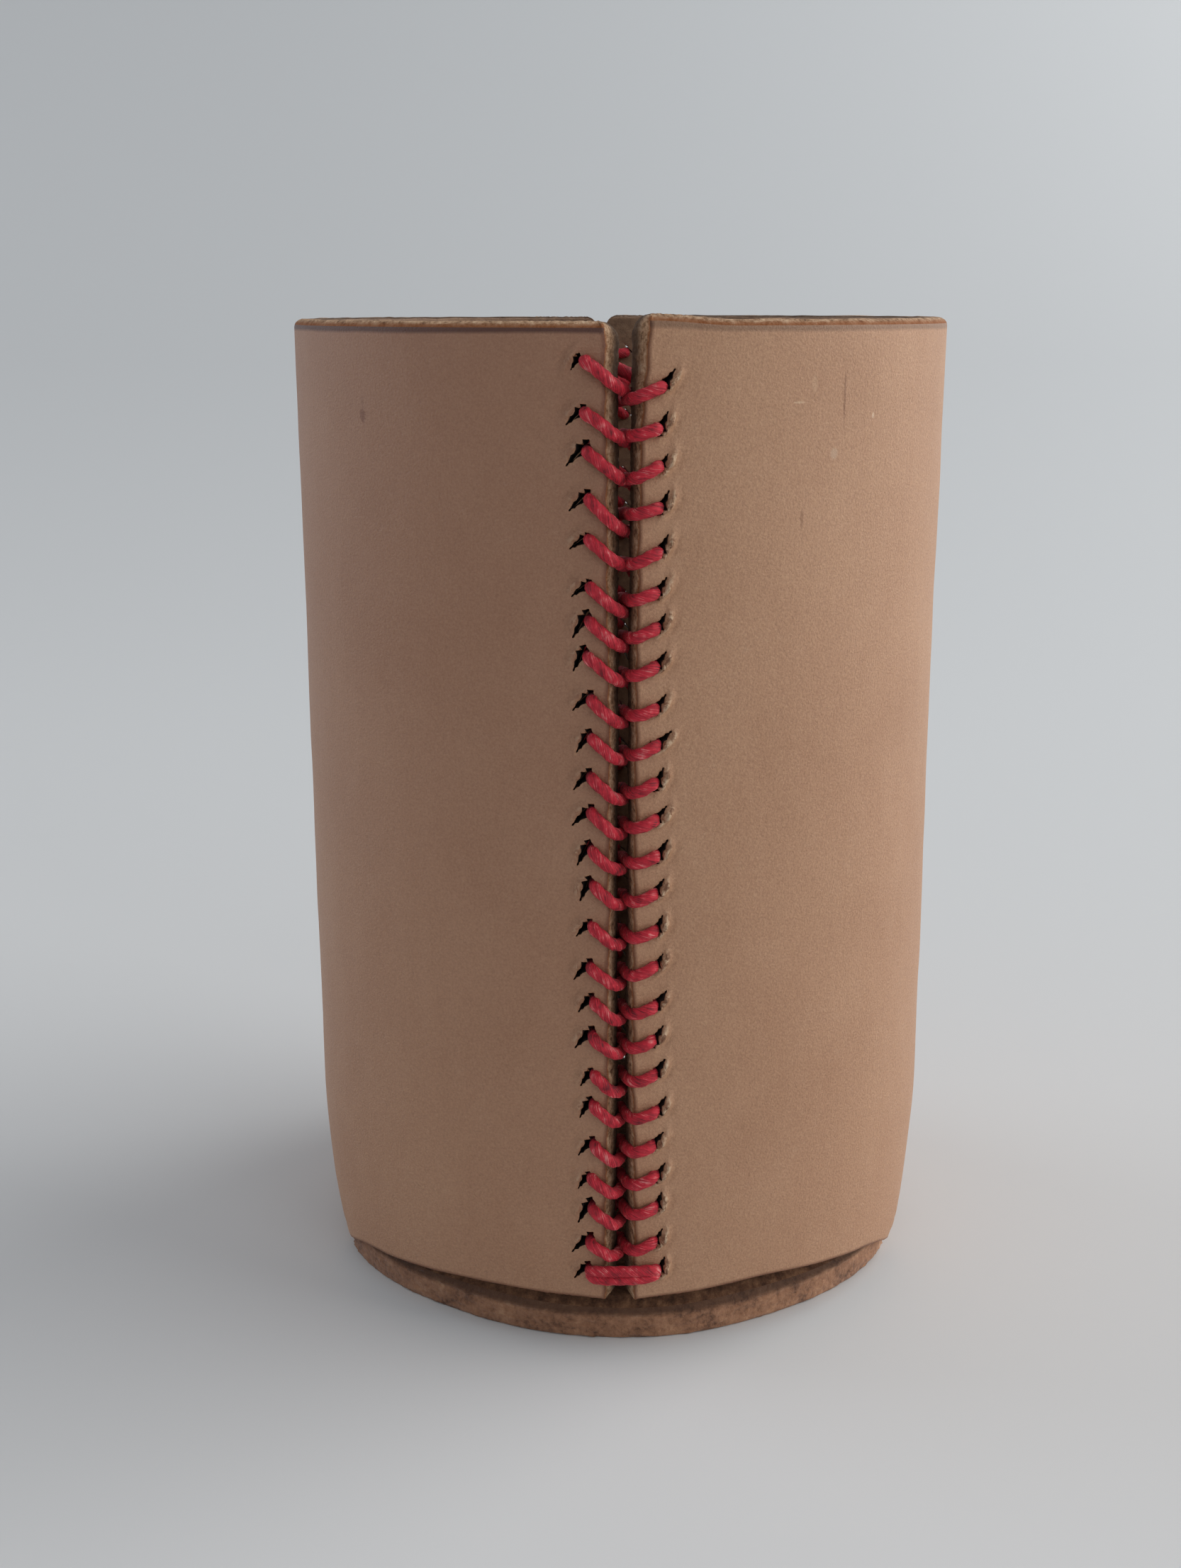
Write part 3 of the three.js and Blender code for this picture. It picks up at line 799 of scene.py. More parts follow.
    # onto the two flat faces that meet at the seam
    cosRidge = addNode(tree, "ShaderNodeMath", {0: given["Ridge"]}, operation="COSINE")
    sinRidge = addNode(tree, "ShaderNodeMath", {0: given["Ridge"]}, operation="SINE")
    lean = addNode(tree, "ShaderNodeMath", {0: across, 1: 1.5 * mm}, operation="DIVIDE")
    lean = addNode(tree, "ShaderNodeClamp", {"Value": lean, "Min": -1.0, "Max": 1.0})
    lean = addNode(tree, "ShaderNodeMath", {0: lean, 1: sinRidge}, operation="MULTIPLY")
    x = addNode(tree, "ShaderNodeMath", {0: height, 1: lean}, operation="MULTIPLY")
    x = addNode(tree, "ShaderNodeMath", {0: across, 1: cosRidge, 2: x}, operation="MULTIPLY_ADD")
    sideways = addNode(tree, "ShaderNodeMath", {0: across}, operation="ABSOLUTE")
    y = addNode(tree, "ShaderNodeMath", {0: sideways, 1: sinRidge, 2: given["Seam front"]}, operation="MULTIPLY_ADD")
    forward = addNode(tree, "ShaderNodeMath", {0: height, 1: cosRidge}, operation="MULTIPLY")
    y = addNode(tree, "ShaderNodeMath", {0: y, 1: forward}, operation="SUBTRACT")
    path = addNode(tree, "ShaderNodeCombineXYZ", {"X": x, "Y": y, "Z": z})
    low = addNode(tree, "ShaderNodeMath", {0: given["Uneven"], 1: -1.0}, operation="MULTIPLY")
    shake = addNode(tree, "FunctionNodeRandomValue", {0: low, 1: given["Uneven"], "Seed": given["Seed"]},
                    data_type="FLOAT_VECTOR")
    placed = addNode(tree, "GeometryNodeSetPosition", {"Geometry": line, "Position": path, "Offset": shake})

    # a smooth curve through the points, swept with a section of three strands
    curve = addNode(tree, "GeometryNodeMeshToCurve", {"Mesh": placed})
    curve = addNode(tree, "GeometryNodeCurveSplineType", {"Curve": curve}, spline_type="CATMULL_ROM")
    curve = addNode(tree, "GeometryNodeSetSplineResolution", {"Geometry": curve, "Resolution": 6})
    curve = addNode(tree, "GeometryNodeResampleCurve", {"Curve": curve, "Length": given["Step"]}, mode="LENGTH")
    gone = addNode(tree, "GeometryNodeSplineParameter", None, "Length")
    curve = addNode(tree, "GeometryNodeStoreNamedAttribute", {"Geometry": curve, "Name": "along", "Value": gone},
                    data_type="FLOAT", domain="POINT")
    turns = addNode(tree, "ShaderNodeMath", {0: gone, 1: given["Lay"]}, operation="DIVIDE")
    twist = addNode(tree, "ShaderNodeMath", {0: turns, 1: 2 * math.pi}, operation="MULTIPLY")
    curve = addNode(tree, "GeometryNodeSetCurveTilt", {"Curve": curve, "Tilt": twist})
    ring = addNode(tree, "GeometryNodeCurvePrimitiveCircle",
                   {"Resolution": given["Around"], "Radius": given["Thread radius"]}, "Curve")
    spot = addNode(tree, "GeometryNodeInputPosition")
    spotXy = addNode(tree, "ShaderNodeSeparateXYZ", {0: spot}, None).outputs
    angle = addNode(tree, "ShaderNodeMath", {0: spotXy["Y"], 1: spotXy["X"]}, operation="ARCTAN2")
    ring = addNode(tree, "GeometryNodeStoreNamedAttribute", {"Geometry": ring, "Name": "section", "Value": spot},
                   data_type="FLOAT_VECTOR", domain="POINT")
    angle3 = addNode(tree, "ShaderNodeMath", {0: angle, 1: 3.0}, operation="MULTIPLY")
    bulge = addNode(tree, "ShaderNodeMath", {0: angle3}, operation="COSINE")
    bulge = addNode(tree, "ShaderNodeMath", {0: bulge, 1: given["Lobe"], 2: 1.0}, operation="MULTIPLY_ADD")
    lobed = addNode(tree, "ShaderNodeVectorMath", {0: spot, "Scale": bulge}, operation="SCALE")
    ring = addNode(tree, "GeometryNodeSetPosition", {"Geometry": ring, "Position": lobed})
    thread = addNode(tree, "GeometryNodeCurveToMesh", {"Curve": curve, "Profile Curve": ring, "Fill Caps": True})
    thread = addNode(tree, "GeometryNodeSetShadeSmooth", {"Geometry": thread})
    real = addNode(tree, "GeometryNodeRealizeInstances", {"Geometry": thread})
    done = addNode(tree, "GeometryNodeSetMaterial", {"Geometry": real, "Material": given["Thread"]})
    addNode(tree, "NodeGroupOutput", {0: done}, None)
    return tree


def makeLacing(name, tree, shape, table, material, seed):
    # the rows' own numbers ride on points, one for each row
    height = table["zL"]
    obj = meshObject(name, np.stack([height * 0, height * 0, height], -1), [], [material])
    for letter in "LR":
        storeOn(obj, "z" + letter, table["z" + letter] * mm)
        storeOn(obj, "exit" + letter, (table["slit" + letter] - lacing["exitIn" + letter]) * mm)
        storeOn(obj, "drop" + letter, table["drop" + letter] * mm)
        storeOn(obj, "proud" + letter, table["proud" + letter] * mm)
    runTree(obj, tree, {
        "Stitch shape": shape, "Per crossing": len(lacing["crossing"]), "Start points": len(lacing["startBar"]),
        "Closing points": len(lacing["closingBar"]), "Rows": seam["rows"], "Thread radius": lacing["radius"] * mm,
        "Lay": lacing["lay"] * mm, "Lobe": lacing["lobe"], "Step": lacing["step"] * mm, "Around": lacing["around"],
        "Uneven": lacing["uneven"] * mm, "Seed": seed, "Seam front": plan["y"][0] * mm,
        "Ridge": math.radians(blank["ridge"]), "Thread": material,
    })
    return obj


def stitchShape():
    points = []
    for x, y, z in lacing["crossing"] + lacing["startBar"] + lacing["closingBar"]:
        points.append((x / mm, y, z / mm))
    return meshObject("stitchShape", points, [])


# ---- materials

def principled(name, look):
    material = bpy.data.materials.new(name)
    material.use_nodes = True
    tree = material.node_tree
    tree.nodes.clear()
    shader = addNode(tree, "ShaderNodeBsdfPrincipled", look, None)
    addNode(tree, "ShaderNodeOutputMaterial", {"Surface": shader.outputs[0]}, None)
    return material, tree, shader


def ramped(tree, factor, stops):
    # a colour ramp of hex colours
    node = addNode(tree, "ShaderNodeValToRGB", {0: factor}, None)
    elements = node.color_ramp.elements
    while len(elements) < len(stops):
        elements.new(0.5)
    for element, (place, colour) in zip(elements, stops):
        element.position = place
        element.color = hexColour(colour)
    return node.outputs[0]


# place, half size, colour and strength of each mark on the grain
marks = [
    ((-27.45, -25.4, 104.1), (0.5, 0.6, 0.85), "#6b3822", 0.6),
    ((-27.5, -25.4, 105.6), (0.25, 0.4, 0.8), "#8a6a50", 0.4),
    ((22.6, -29.9, 106.3), (0.13, 0.4, 2.3), "#85583b", 0.6),
    ((18.2, -32.4, 94.0), (0.2, 0.4, 1.2), "#86593c", 0.45),
    ((17.7, -33.0, 105.8), (0.75, 0.6, 0.12), "#dcbb9a", 0.6),
    ((19.2, -32.1, 107.6), (0.35, 0.5, 0.9), "#d3ad8b", 0.3),
    ((21.6, -30.5, 100.5), (0.5, 0.5, 0.6), "#cfb39a", 0.4),
    ((26.0, -27.0, 104.2), (0.16, 0.3, 0.35), "#e2c4a6", 0.7),
]


# vegetable-tanned cowhide, grain side up: smooth, with fine hair pores, faint growth lines and
# slow changes of tone; a little natural wax gives a soft sheen
def vegTanGrain():
    material, tree, shader = principled("vegTanGrain", {"Roughness": 0.5, "IOR": 1.48})
    place = addNode(tree, "ShaderNodeTexCoord", None, "Object")
    tall = addNode(tree, "ShaderNodeMapping", {"Vector": place, "Scale": (1, 1, 0.22)})
    tone = addNode(tree, "ShaderNodeTexNoise", {"Vector": place, "Scale": 55.0, "Detail": 4.0, "Roughness": 0.55})
    streaks = addNode(tree, "ShaderNodeTexNoise", {"Vector": tall, "Scale": 420.0, "Detail": 3.0, "Roughness": 0.6})
    grains = addNode(tree, "ShaderNodeTexNoise", {"Vector": place, "Scale": 3800.0, "Detail": 4.0, "Roughness": 0.7})
    base = ramped(tree, tone, [(0.3, "#b48564"), (0.5, "#be906f"), (0.7, "#c69977")])
    streaked = ramped(tree, streaks, [(0.3, "#b58665"), (0.7, "#c69a79")])
    colour = addNode(tree, "ShaderNodeMix", {0: 0.25, 6: base, 7: streaked}, 2, data_type="RGBA")
    fine = ramped(tree, grains, [(0.3, "#8d6448"), (0.5, "#c09271"), (0.7, "#e2b690")])
    colour = addNode(tree, "ShaderNodeMix", {0: 0.36, 6: colour, 7: fine}, 2, data_type="RGBA")
    # short pale creases here and there, where the hide has been bent
    lines = addNode(tree, "ShaderNodeTexNoise", {"Vector": place, "Scale": 800.0, "Detail": 3.0, "Distortion": 0.8})
    lines = addNode(tree, "ShaderNodeMath", {0: lines, 1: 0.5}, operation="SUBTRACT")
    lines = addNode(tree, "ShaderNodeMath", {0: lines}, operation="ABSOLUTE")
    lines = addNode(tree, "ShaderNodeMapRange", {0: lines, 1: 0.0, 2: 0.012, 3: 1.0, 4: 0.0}, 0)
    patches = addNode(tree, "ShaderNodeTexNoise", {"Vector": place, "Scale": 160.0, "Detail": 3.0})
    patches = addNode(tree, "ShaderNodeMapRange", {0: patches, 1: 0.5, 2: 0.62, 3: 0.0, 4: 0.3}, 0)
    lines = addNode(tree, "ShaderNodeMath", {0: lines, 1: patches}, operation="MULTIPLY")
    colour = addNode(tree, "ShaderNodeMix", {0: lines, 6: colour, 7: hexColour("#dbb596")}, 2, data_type="RGBA")
    # burnished dark line where the grain meets a cut edge
    fromCut = addNode(tree, "ShaderNodeAttribute", None, "Fac", attribute_name="fromCut")
    line = addNode(tree, "ShaderNodeMapRange", {0: fromCut, 1: 0.15, 2: 0.55, 3: 0.9, 4: 0.0}, 0)
    colour = addNode(tree, "ShaderNodeMix", {0: line, 6: colour, 7: hexColour("#6e3c1c")}, 2, data_type="RGBA")
    # and a darker one under the rim's bevel, where the tool has pressed it
    fromRim = addNode(tree, "ShaderNodeAttribute", None, "Fac", attribute_name="fromRim")
    burnishAndShade = addNode(tree, "ShaderNodeAttribute", None, "Fac", attribute_name="burnishAndShade")
    wander = addNode(tree, "ShaderNodeMath", {0: tone, 1: 0.5, 2: -0.25}, operation="MULTIPLY_ADD")
    fromRim = addNode(tree, "ShaderNodeMath", {0: fromRim, 1: wander}, operation="ADD")
    press = addNode(tree, "ShaderNodeMapRange", {0: fromRim, 1: 1.0, 2: 1.35, 3: 1.0, 4: 0.0}, 0)
    press = addNode(tree, "ShaderNodeMath", {0: press, 1: burnishAndShade}, operation="MULTIPLY")
    colour = addNode(tree, "ShaderNodeMix", {0: press, 6: colour, 7: hexColour("#1c0804")}, 2, data_type="RGBA")
    # painted highlights and painted shade: the puckers beside the slits get pale glints and dark creases, placed by
    # noise
    raised = addNode(tree, "ShaderNodeAttribute", None, "Fac", attribute_name="raised")
    folds = addNode(tree, "ShaderNodeTexNoise", {"Vector": place, "Scale": 1300.0, "Detail": 4.0, "Distortion": 1.2})
    puckerGlintAndCrease = ramped(tree, folds, [(0.4, "#7c5339"), (0.48, "#bb9170"), (0.58, "#e6c8a6")])
    puckerLightShade = addNode(tree, "ShaderNodeMapRange", {0: raised, 1: 0.08, 2: 0.42, 3: 0.0, 4: 0.75}, 0)
    colour = addNode(tree, "ShaderNodeMix", {0: puckerLightShade, 6: colour, 7: puckerGlintAndCrease}, 2, data_type="RGBA")
    # one small brown stain high on the left wall, and a few fine scratches high on the right
    for spot, size, tint, share in marks:
        away = addNode(tree, "ShaderNodeVectorMath", {0: place, 1: [c * mm for c in spot]}, operation="SUBTRACT")
        away = addNode(tree, "ShaderNodeVectorMath", {0: away, 1: [c * mm for c in size]}, operation="DIVIDE")
        away = addNode(tree, "ShaderNodeVectorMath", {0: away}, "Value", operation="LENGTH")
        blur = addNode(tree, "ShaderNodeMath", {0: grains, 1: 0.6, 2: -0.3}, operation="MULTIPLY_ADD")
        away = addNode(tree, "ShaderNodeMath", {0: away, 1: blur}, operation="ADD")
        inside = addNode(tree, "ShaderNodeMapRange", {0: away, 1: 0.75, 2: 1.15, 3: share, 4: 0.0}, 0)
        colour = addNode(tree, "ShaderNodeMix", {0: inside, 6: colour, 7: hexColour(tint)}, 2, data_type="RGBA")
    # painted shade: the left wall's colour is darkened for the shade it stands in, the right wall's hardly at all
    paintedWallShade = addNode(tree, "ShaderNodeAttribute", None, "Fac", attribute_name="paintedWallShade")
    colour = addNode(tree, "ShaderNodeMix", {0: paintedWallShade, 6: colour, 7: hexColour("#7b4d3d")}, 2, data_type="RGBA")
    tree.links.new(colour, shader.inputs["Base Color"])
    pores = addNode(tree, "ShaderNodeTexVoronoi", {"Vector": place, "Scale": 2400.0, "Randomness": 1.0}, 0)
    pit = addNode(tree, "ShaderNodeMapRange", {0: pores, 1: 0.0, 2: 0.35, 3: 0.0, 4: 1.0}, 0)
    bump = addNode(tree, "ShaderNodeBump", {"Strength": 0.25, "Distance": 0.00008, "Height": pit})
    bump = addNode(tree, "ShaderNodeBump", {"Strength": 0.8, "Distance": 0.00018, "Height": grains, "Normal": bump})
    bump = addNode(tree, "ShaderNodeBump", {"Strength": 0.15, "Distance": 0.0003, "Height": streaks, "Normal": bump})
    # fine wrinkles on the puckers
    folds = addNode(tree, "ShaderNodeMath", {0: folds, 1: raised}, operation="MULTIPLY")
    bump = addNode(tree, "ShaderNodeBump", {"Strength": 1.0, "Distance": 0.0008, "Height": folds, "Normal": bump})
    tree.links.new(bump, shader.inputs["Normal"])
    return material


# the same hide's cut edge: packed fibres in brown and tan, matt, with a darker line at the grain
def cutEdge():
    material, tree, shader = principled("cutLeatherEdge", {"Roughness": 0.92, "IOR": 1.45})
    place = addNode(tree, "ShaderNodeTexCoord", None, "Object")
    fibres = addNode(tree, "ShaderNodeTexNoise", {"Vector": place, "Scale": 2600.0, "Detail": 4.0, "Roughness": 0.7})
    clumps = addNode(tree, "ShaderNodeTexNoise", {"Vector": place, "Scale": 900.0, "Detail": 3.0, "Roughness": 0.6})
    both = addNode(tree, "ShaderNodeMath", {0: fibres, 1: clumps}, operation="ADD")
    both = addNode(tree, "ShaderNodeMath", {0: both, 1: 0.5}, operation="MULTIPLY")
    colour = ramped(tree, both, [(0.36, "#543a28"), (0.45, "#967253"), (0.54, "#bd9878"), (0.66, "#dcbf9e")])
    depth = addNode(tree, "ShaderNodeAttribute", None, "Fac", attribute_name="intoLeather")
    # painted shade with some dirt: the inner part of the cut face, deep in the narrow groove, is darker
    uneven = addNode(tree, "ShaderNodeMath", {0: clumps, 1: 1.6, 2: -0.8}, operation="MULTIPLY_ADD")
    uneven = addNode(tree, "ShaderNodeMath", {0: depth, 1: uneven}, operation="ADD")
    inner = addNode(tree, "ShaderNodeMapRange", {0: uneven, 1: 1.0, 2: 2.2, 3: 0.0, 4: 0.85}, 0)
    colour = addNode(tree, "ShaderNodeMix", {0: inner, 6: colour, 7: hexColour("#3b2618")}, 2, data_type="RGBA")
    line = addNode(tree, "ShaderNodeMapRange", {0: depth, 1: 0.12, 2: 0.45, 3: 0.8, 4: 0.0}, 0)
    colour = addNode(tree, "ShaderNodeMix", {0: line, 6: colour, 7: hexColour("#8c4d22")}, 2, data_type="RGBA")
    tree.links.new(colour, shader.inputs["Base Color"])
    bump = addNode(tree, "ShaderNodeBump", {"Strength": 0.9, "Distance": 0.0003, "Height": both})
    tree.links.new(bump, shader.inputs["Normal"])
    return material


# the base's cut edge is thicker with fibres and browner; painted shade darkens its top under the walls and its -X side
# away from the light
def baseEdge():
    material, tree, shader = principled("baseLeatherEdge", {"Roughness": 0.95, "IOR": 1.45, "Sheen Weight": 0.15,
                                                            "Sheen Roughness": 0.6})
    place = addNode(tree, "ShaderNodeTexCoord", None, "Object")
    fibres = addNode(tree, "ShaderNodeTexNoise", {"Vector": place, "Scale": 1500.0, "Detail": 5.0, "Roughness": 0.72})
    clumps = addNode(tree, "ShaderNodeTexNoise", {"Vector": place, "Scale": 260.0, "Detail": 3.0, "Roughness": 0.6})
    both = addNode(tree, "ShaderNodeMath", {0: fibres, 1: clumps}, operation="ADD")
    both = addNode(tree, "ShaderNodeMath", {0: both, 1: 0.5}, operation="MULTIPLY")
    colour = ramped(tree, both, [(0.36, "#5a3824"), (0.47, "#9a6c4e"), (0.56, "#b07f5e"), (0.7, "#cda07a")])
    # painted shade: the top of the edge, under the overhanging walls, is darkened
    up = addNode(tree, "ShaderNodeAttribute", None, "Fac", attribute_name="intoLeather")
    top = addNode(tree, "ShaderNodeMapRange", {0: up, 1: 2.6, 2: 3.2, 3: 0.0, 4: 0.7}, 0)
    colour = addNode(tree, "ShaderNodeMix", {0: top, 6: colour, 7: hexColour("#3c271c")}, 2, data_type="RGBA")
    # painted shade: the -X side, away from the light, is darkened, so the +X side looks paler
    side = addNode(tree, "ShaderNodeSeparateXYZ", {0: place}, "X")
    side = addNode(tree, "ShaderNodeMapRange", {0: side, 1: -0.03, 2: 0.03, 3: 0.32, 4: 0.0}, 0)
    colour = addNode(tree, "ShaderNodeMix", {0: side, 6: colour, 7: hexColour("#55301e")}, 2, data_type="RGBA")
    tree.links.new(colour, shader.inputs["Base Color"])
    bump = addNode(tree, "ShaderNodeBump", {"Strength": 1.0, "Distance": 0.0004, "Height": both})
    tree.links.new(bump, shader.inputs["Normal"])
    return material


# the base's flesh side, coloured dark brown as painted shade where it shows under the walls
def shadedBaseFlesh():
    material, tree, shader = principled("baseFleshPaintedShade", {"Roughness": 1.0, "IOR": 1.45})
    place = addNode(tree, "ShaderNodeTexCoord", None, "Object")
    nap = addNode(tree, "ShaderNodeTexNoise", {"Vector": place, "Scale": 800.0, "Detail": 5.0, "Roughness": 0.7})
    colour = ramped(tree, nap, [(0.35, "#4a3021"), (0.5, "#6a4833"), (0.68, "#8d664a")])
    tree.links.new(colour, shader.inputs["Base Color"])
    bump = addNode(tree, "ShaderNodeBump", {"Strength": 0.9, "Distance": 0.0004, "Height": nap})
    tree.links.new(bump, shader.inputs["Normal"])
    return material


# the flesh side: brushed, open fibres, slightly fuzzy and without shine; its brown is darkened as painted shade for the
# cup's dim inside
def shadedFleshSide():
    material, tree, shader = principled("shadedFleshSide", {"Roughness": 1.0, "IOR": 1.45, "Sheen Weight": 0.25,
                                                      "Sheen Roughness": 0.6})
    place = addNode(tree, "ShaderNodeTexCoord", None, "Object")
    nap = addNode(tree, "ShaderNodeTexNoise", {"Vector": place, "Scale": 900.0, "Detail": 5.0, "Roughness": 0.7})
    cloud = addNode(tree, "ShaderNodeTexNoise", {"Vector": place, "Scale": 90.0, "Detail": 3.0})
    both = addNode(tree, "ShaderNodeMath", {0: nap, 1: cloud}, operation="ADD")
    both = addNode(tree, "ShaderNodeMath", {0: both, 1: 0.5}, operation="MULTIPLY")
    colour = ramped(tree, both, [(0.35, "#6a4f3c"), (0.5, "#896a52"), (0.65, "#a38265")])
    tree.links.new(colour, shader.inputs["Base Color"])
    bump = addNode(tree, "ShaderNodeBump", {"Strength": 0.8, "Distance": 0.0003, "Height": nap})
    tree.links.new(bump, shader.inputs["Normal"])
    return material


# the sides of a knife slit: closed fibres, coloured near black as painted shade for the deep, narrow slit
def shadedSlitSides():
    material, tree, shader = principled("shadedSlitSides", {"Roughness": 0.95})
    place = addNode(tree, "ShaderNodeTexCoord", None, "Object")
    noise = addNode(tree, "ShaderNodeTexNoise", {"Vector": place, "Scale": 1800.0, "Detail": 3.0})
    tree.links.new(ramped(tree, noise, [(0.35, "#160e09"), (0.7, "#33231a")]), shader.inputs["Base Color"])
    return material


# waxed polyester thread: three twisted strands of fine filaments, with painted shade in the hollows between them
def waxedThread():
    material, tree, shader = principled("waxedThread", {"Roughness": 0.62, "IOR": 1.48, "Sheen Weight": 0.06,
                                                        "Sheen Roughness": 0.5})
    part = addNode(tree, "ShaderNodeAttribute", None, "Vector", attribute_name="section")
    along = addNode(tree, "ShaderNodeAttribute", None, "Fac", attribute_name="along")
    xy = addNode(tree, "ShaderNodeSeparateXYZ", {0: part}, None).outputs
    angle = addNode(tree, "ShaderNodeMath", {0: xy["Y"], 1: xy["X"]}, operation="ARCTAN2")
    tripled = addNode(tree, "ShaderNodeMath", {0: angle, 1: 3.0}, operation="MULTIPLY")
    lobe = addNode(tree, "ShaderNodeMath", {0: tripled}, operation="COSINE")
    # filaments: drawn as stripes that run along the strand and waver
    slow = addNode(tree, "ShaderNodeMath", {0: along, 1: 0.12}, operation="MULTIPLY")
    spun = addNode(tree, "ShaderNodeVectorMath", {0: part, "Scale": 1.0}, operation="SCALE")
    shifted = addNode(tree, "ShaderNodeCombineXYZ", {"Z": slow})
    spun = addNode(tree, "ShaderNodeVectorMath", {0: spun, 1: shifted}, operation="ADD")
    strands = addNode(tree, "ShaderNodeTexNoise", {"Vector": spun, "Scale": 7500.0, "Detail": 2.0, "Roughness": 0.6})
    place = addNode(tree, "ShaderNodeTexCoord", None, "Object")
    worn = addNode(tree, "ShaderNodeTexNoise", {"Vector": place, "Scale": 900.0, "Detail": 3.0})
    level = addNode(tree, "ShaderNodeMath", {0: strands, 1: worn}, operation="ADD")
    level = addNode(tree, "ShaderNodeMath", {0: level, 1: 0.5}, operation="MULTIPLY")
    colour = ramped(tree, level, [(0.36, "#6d0818"), (0.45, "#b81229"), (0.56, "#d62338"), (0.71, "#f3a49e")])
    # painted shade in the hollows between the three strands
    strandShade = addNode(tree, "ShaderNodeMapRange", {0: lobe, 1: -1.0, 2: -0.3, 3: 0.3, 4: 0.0}, 0)
    colour = addNode(tree, "ShaderNodeMix", {0: strandShade, 6: colour, 7: hexColour("#82101e")}, 2, data_type="RGBA")
    tree.links.new(colour, shader.inputs["Base Color"])
    bump = addNode(tree, "ShaderNodeBump", {"Strength": 0.9, "Distance": 0.00014, "Height": strands})
    tree.links.new(bump, shader.inputs["Normal"])
    return material


# ---- making it all

print("materials")
grain, cut, flesh, dark, thread = vegTanGrain(), cutEdge(), shadedFleshSide(), shadedSlitSides(), waxedThread()
leatherSet = (grain, cut, flesh, dark)

print("walls")
cutter = slitTree()
walls = {}
for side in ("left", "right"):
    near, far = ("front", "back") if side == "left" else ("back", "front")
    ends = (blank["leftDrop"], 0.0, 0.0, 1.0, 41) if side == "left" else (0.0, blank["cornerRise"], 0.6, 0.4, 42)
    piece = makeWall(side + "Wall", leatherSet, laces[near], laces[far], *ends)
    spots = slitPoints(side + "SlitPoints", laces[near], laces[far])
    runTree(piece, cutter, {"Slit points": spots, "Length": slit["length"] * mm, "Width": slit["width"] * mm,
                            "Depth": slit["cut"] * mm, "Ragged": slit["ragged"], "Slit wall": dark})
    bpy.data.objects.remove(spots)
    if side == "right":
        turnHalf(piece)
    settle(piece)
    walls[side] = piece

print("base")
bottom = makeBase("cupBase", (grain, baseEdge(), shadedBaseFlesh()))

print("lacing")
laceTree = lacingTree()
shape = stitchShape()
seams = {}
for number, side in enumerate(("front", "back")):
    seams[side] = makeLacing(side + "Lacing", laceTree, shape, laces[side], thread, 3 + number)
turnHalf(seams["back"])
settle(seams["back"])
bpy.data.objects.remove(shape)

for side, piece in walls.items():
    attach(piece, "root")
    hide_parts("wall_" + side)
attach(bottom, "root")
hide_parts("base_disc")
for side, piece in seams.items():
    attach(piece, "root")
    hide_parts(side + "_seam_thread")
for piece in (*walls.values(), bottom, *seams.values()):
    print(piece.name, len(piece.data.polygons), "faces")


# ---- the table, the light and the camera

stage = {"away": 217.4, "eye": 115.3, "pitch": 15.03, "lens": 40.92, "turn": -1.2, "yaw": 0.907}

print("stage")


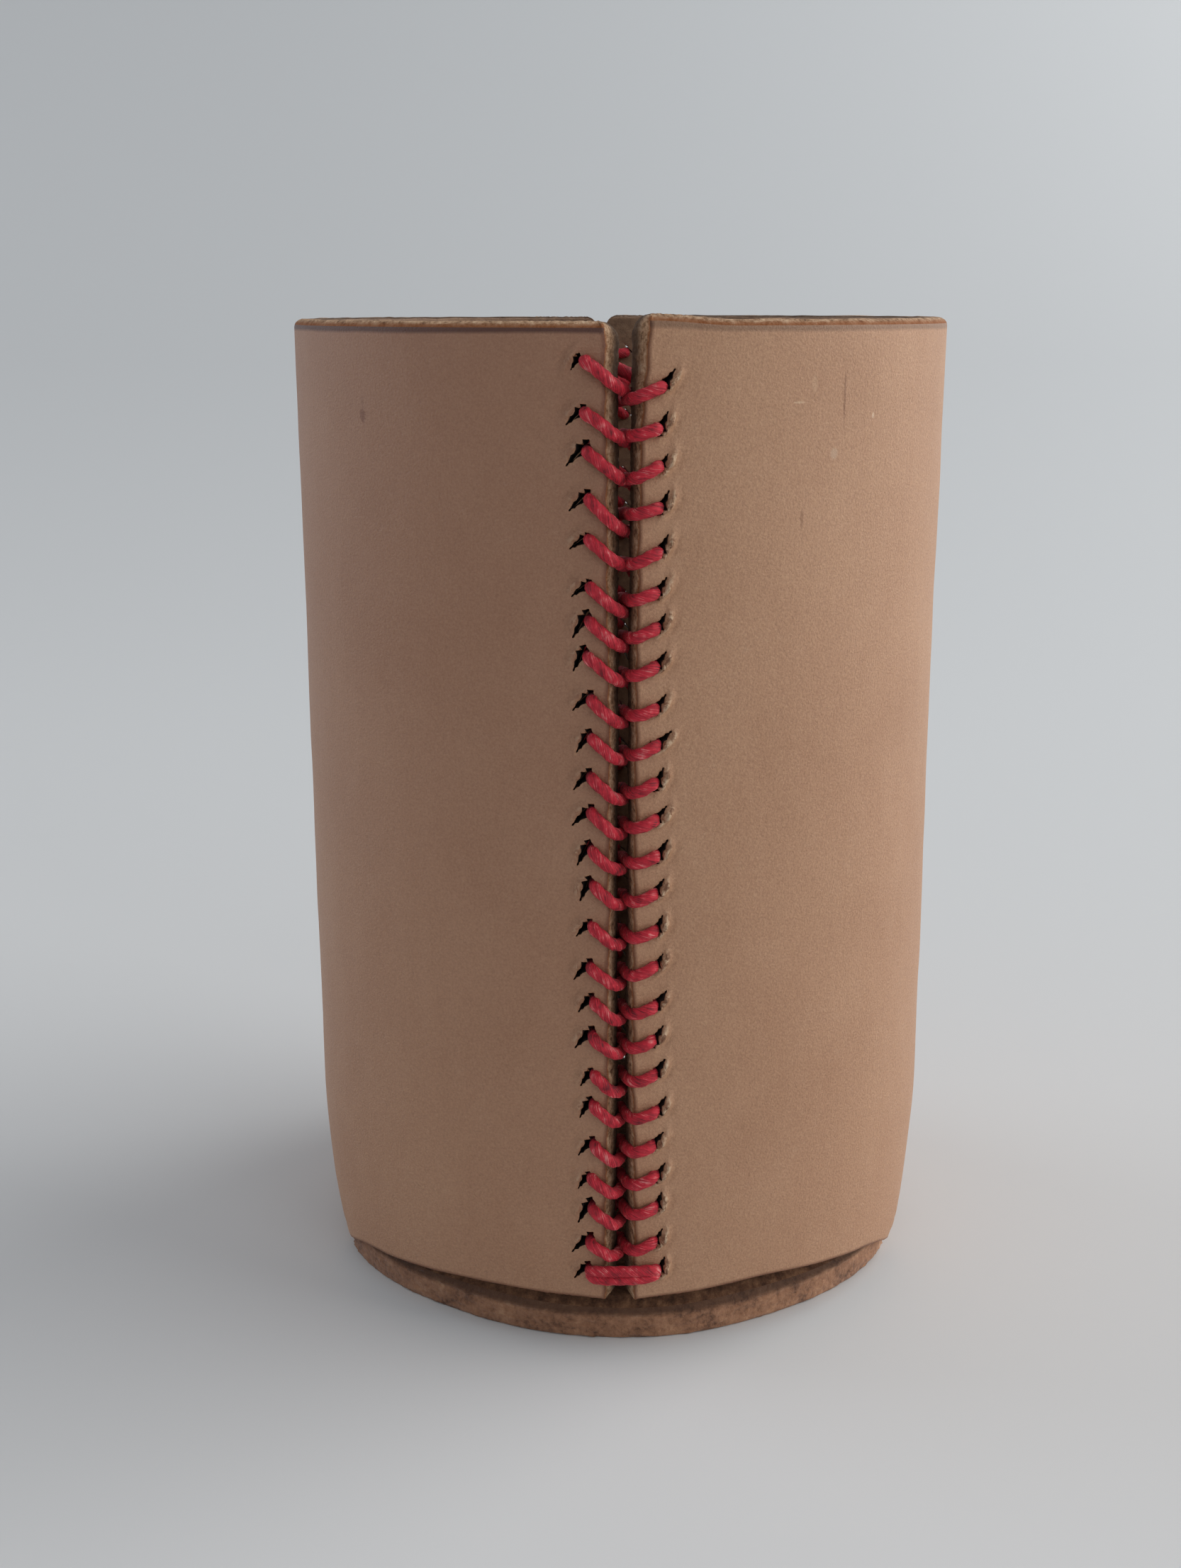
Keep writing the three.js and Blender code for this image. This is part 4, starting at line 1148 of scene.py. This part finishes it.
def makeFloor():
    # a pale sweep: flat under the cup, then rising slowly far behind it
    across = np.linspace(-2.4, 2.4, 25)
    back = np.concatenate([np.linspace(-2.4, 0.3, 14), np.linspace(0.36, 1.7, 24)])
    rise = 0.55 * np.clip(back - 0.3, 0, None) ** 2
    points = [(x / mm, y / mm, z / mm) for y, z in zip(back, rise) for x in across]
    wide = len(across)
    faces = [(r * wide + c, r * wide + c + 1, (r + 1) * wide + c + 1, (r + 1) * wide + c)
             for r in range(len(back) - 1) for c in range(wide - 1)]
    # a pale board with painted light: paler towards the front, darker behind
    material, tree, shader = principled("boardPaintedFalloff", {"Roughness": 0.85})
    place = addNode(tree, "ShaderNodeTexCoord", None, "Object")
    depth = addNode(tree, "ShaderNodeSeparateXYZ", {0: place}, "Y")
    depth = addNode(tree, "ShaderNodeMapRange", {0: depth, 1: -0.1, 2: 0.7, 3: 0.0, 4: 1.0}, 0)
    colour = addNode(tree, "ShaderNodeMix", {0: depth, 6: hexColour("#d9d9d9"), 7: hexColour("#bfc0c1")}, 2,
                     data_type="RGBA")
    tree.links.new(colour, shader.inputs["Base Color"])
    return meshObject("floor", points, faces, [material])


makeFloor()


def areaLight(name, place, aim, size, power, colour):
    lamp = bpy.data.lights.new(name, "AREA")
    lamp.shape = "DISK"
    lamp.size, lamp.energy, lamp.color = size, power, colour
    obj = bpy.data.objects.new(name, lamp)
    obj.location = place
    obj.rotation_euler = (Vector(aim) - Vector(place)).to_track_quat("-Z", "Y").to_euler()
    obj.visible_camera = False
    bpy.context.collection.objects.link(obj)


middle = (0, 0, cup["height"] * mm / 2)
areaLight("windowLight", (1.45, 0.2, 0.95), middle, 2.2, 25.5, (1.0, 0.99, 0.965))
areaLight("frontFill", (1.0, -1.3, 0.7), middle, 0.8, 2.0, (1.0, 0.99, 0.965))
areaLight("leftFill", (-1.3, 0.5, 0.5), middle, 0.9, 4.6, (0.94, 0.96, 1.0))
areaLight("backdropLight", (1.0, 0.5, 1.0), (0.75, 1.4, 0.4), 0.9, 4.8, (0.93, 0.97, 1.0))

world = bpy.data.worlds.new("room")
bpy.context.scene.world = world
world.use_nodes = True
world.node_tree.nodes.clear()
light = addNode(world.node_tree, "ShaderNodeBackground", {"Color": hexColour("#d2d8de"), "Strength": 0.56}, 0)
addNode(world.node_tree, "ShaderNodeOutputWorld", {"Surface": light}, None)

bpy.context.scene.view_settings.view_transform = "Standard"


def makeCamera():
    camera = bpy.data.cameras.new("camera")
    camera.lens = stage["lens"]
    camera.sensor_width = 36
    camera.clip_start, camera.clip_end = 0.01, 20
    obj = bpy.data.objects.new("camera", camera)
    bpy.context.collection.objects.link(obj)
    turn = math.radians(stage["turn"])
    obj.location = (stage["away"] * mm * math.sin(turn), -stage["away"] * mm * math.cos(turn), stage["eye"] * mm)
    # the cup stands a little right of the middle
    obj.rotation_euler = (math.radians(90 - stage["pitch"]), 0, turn + math.radians(stage["yaw"]))
    bpy.context.scene.camera = obj


makeCamera()
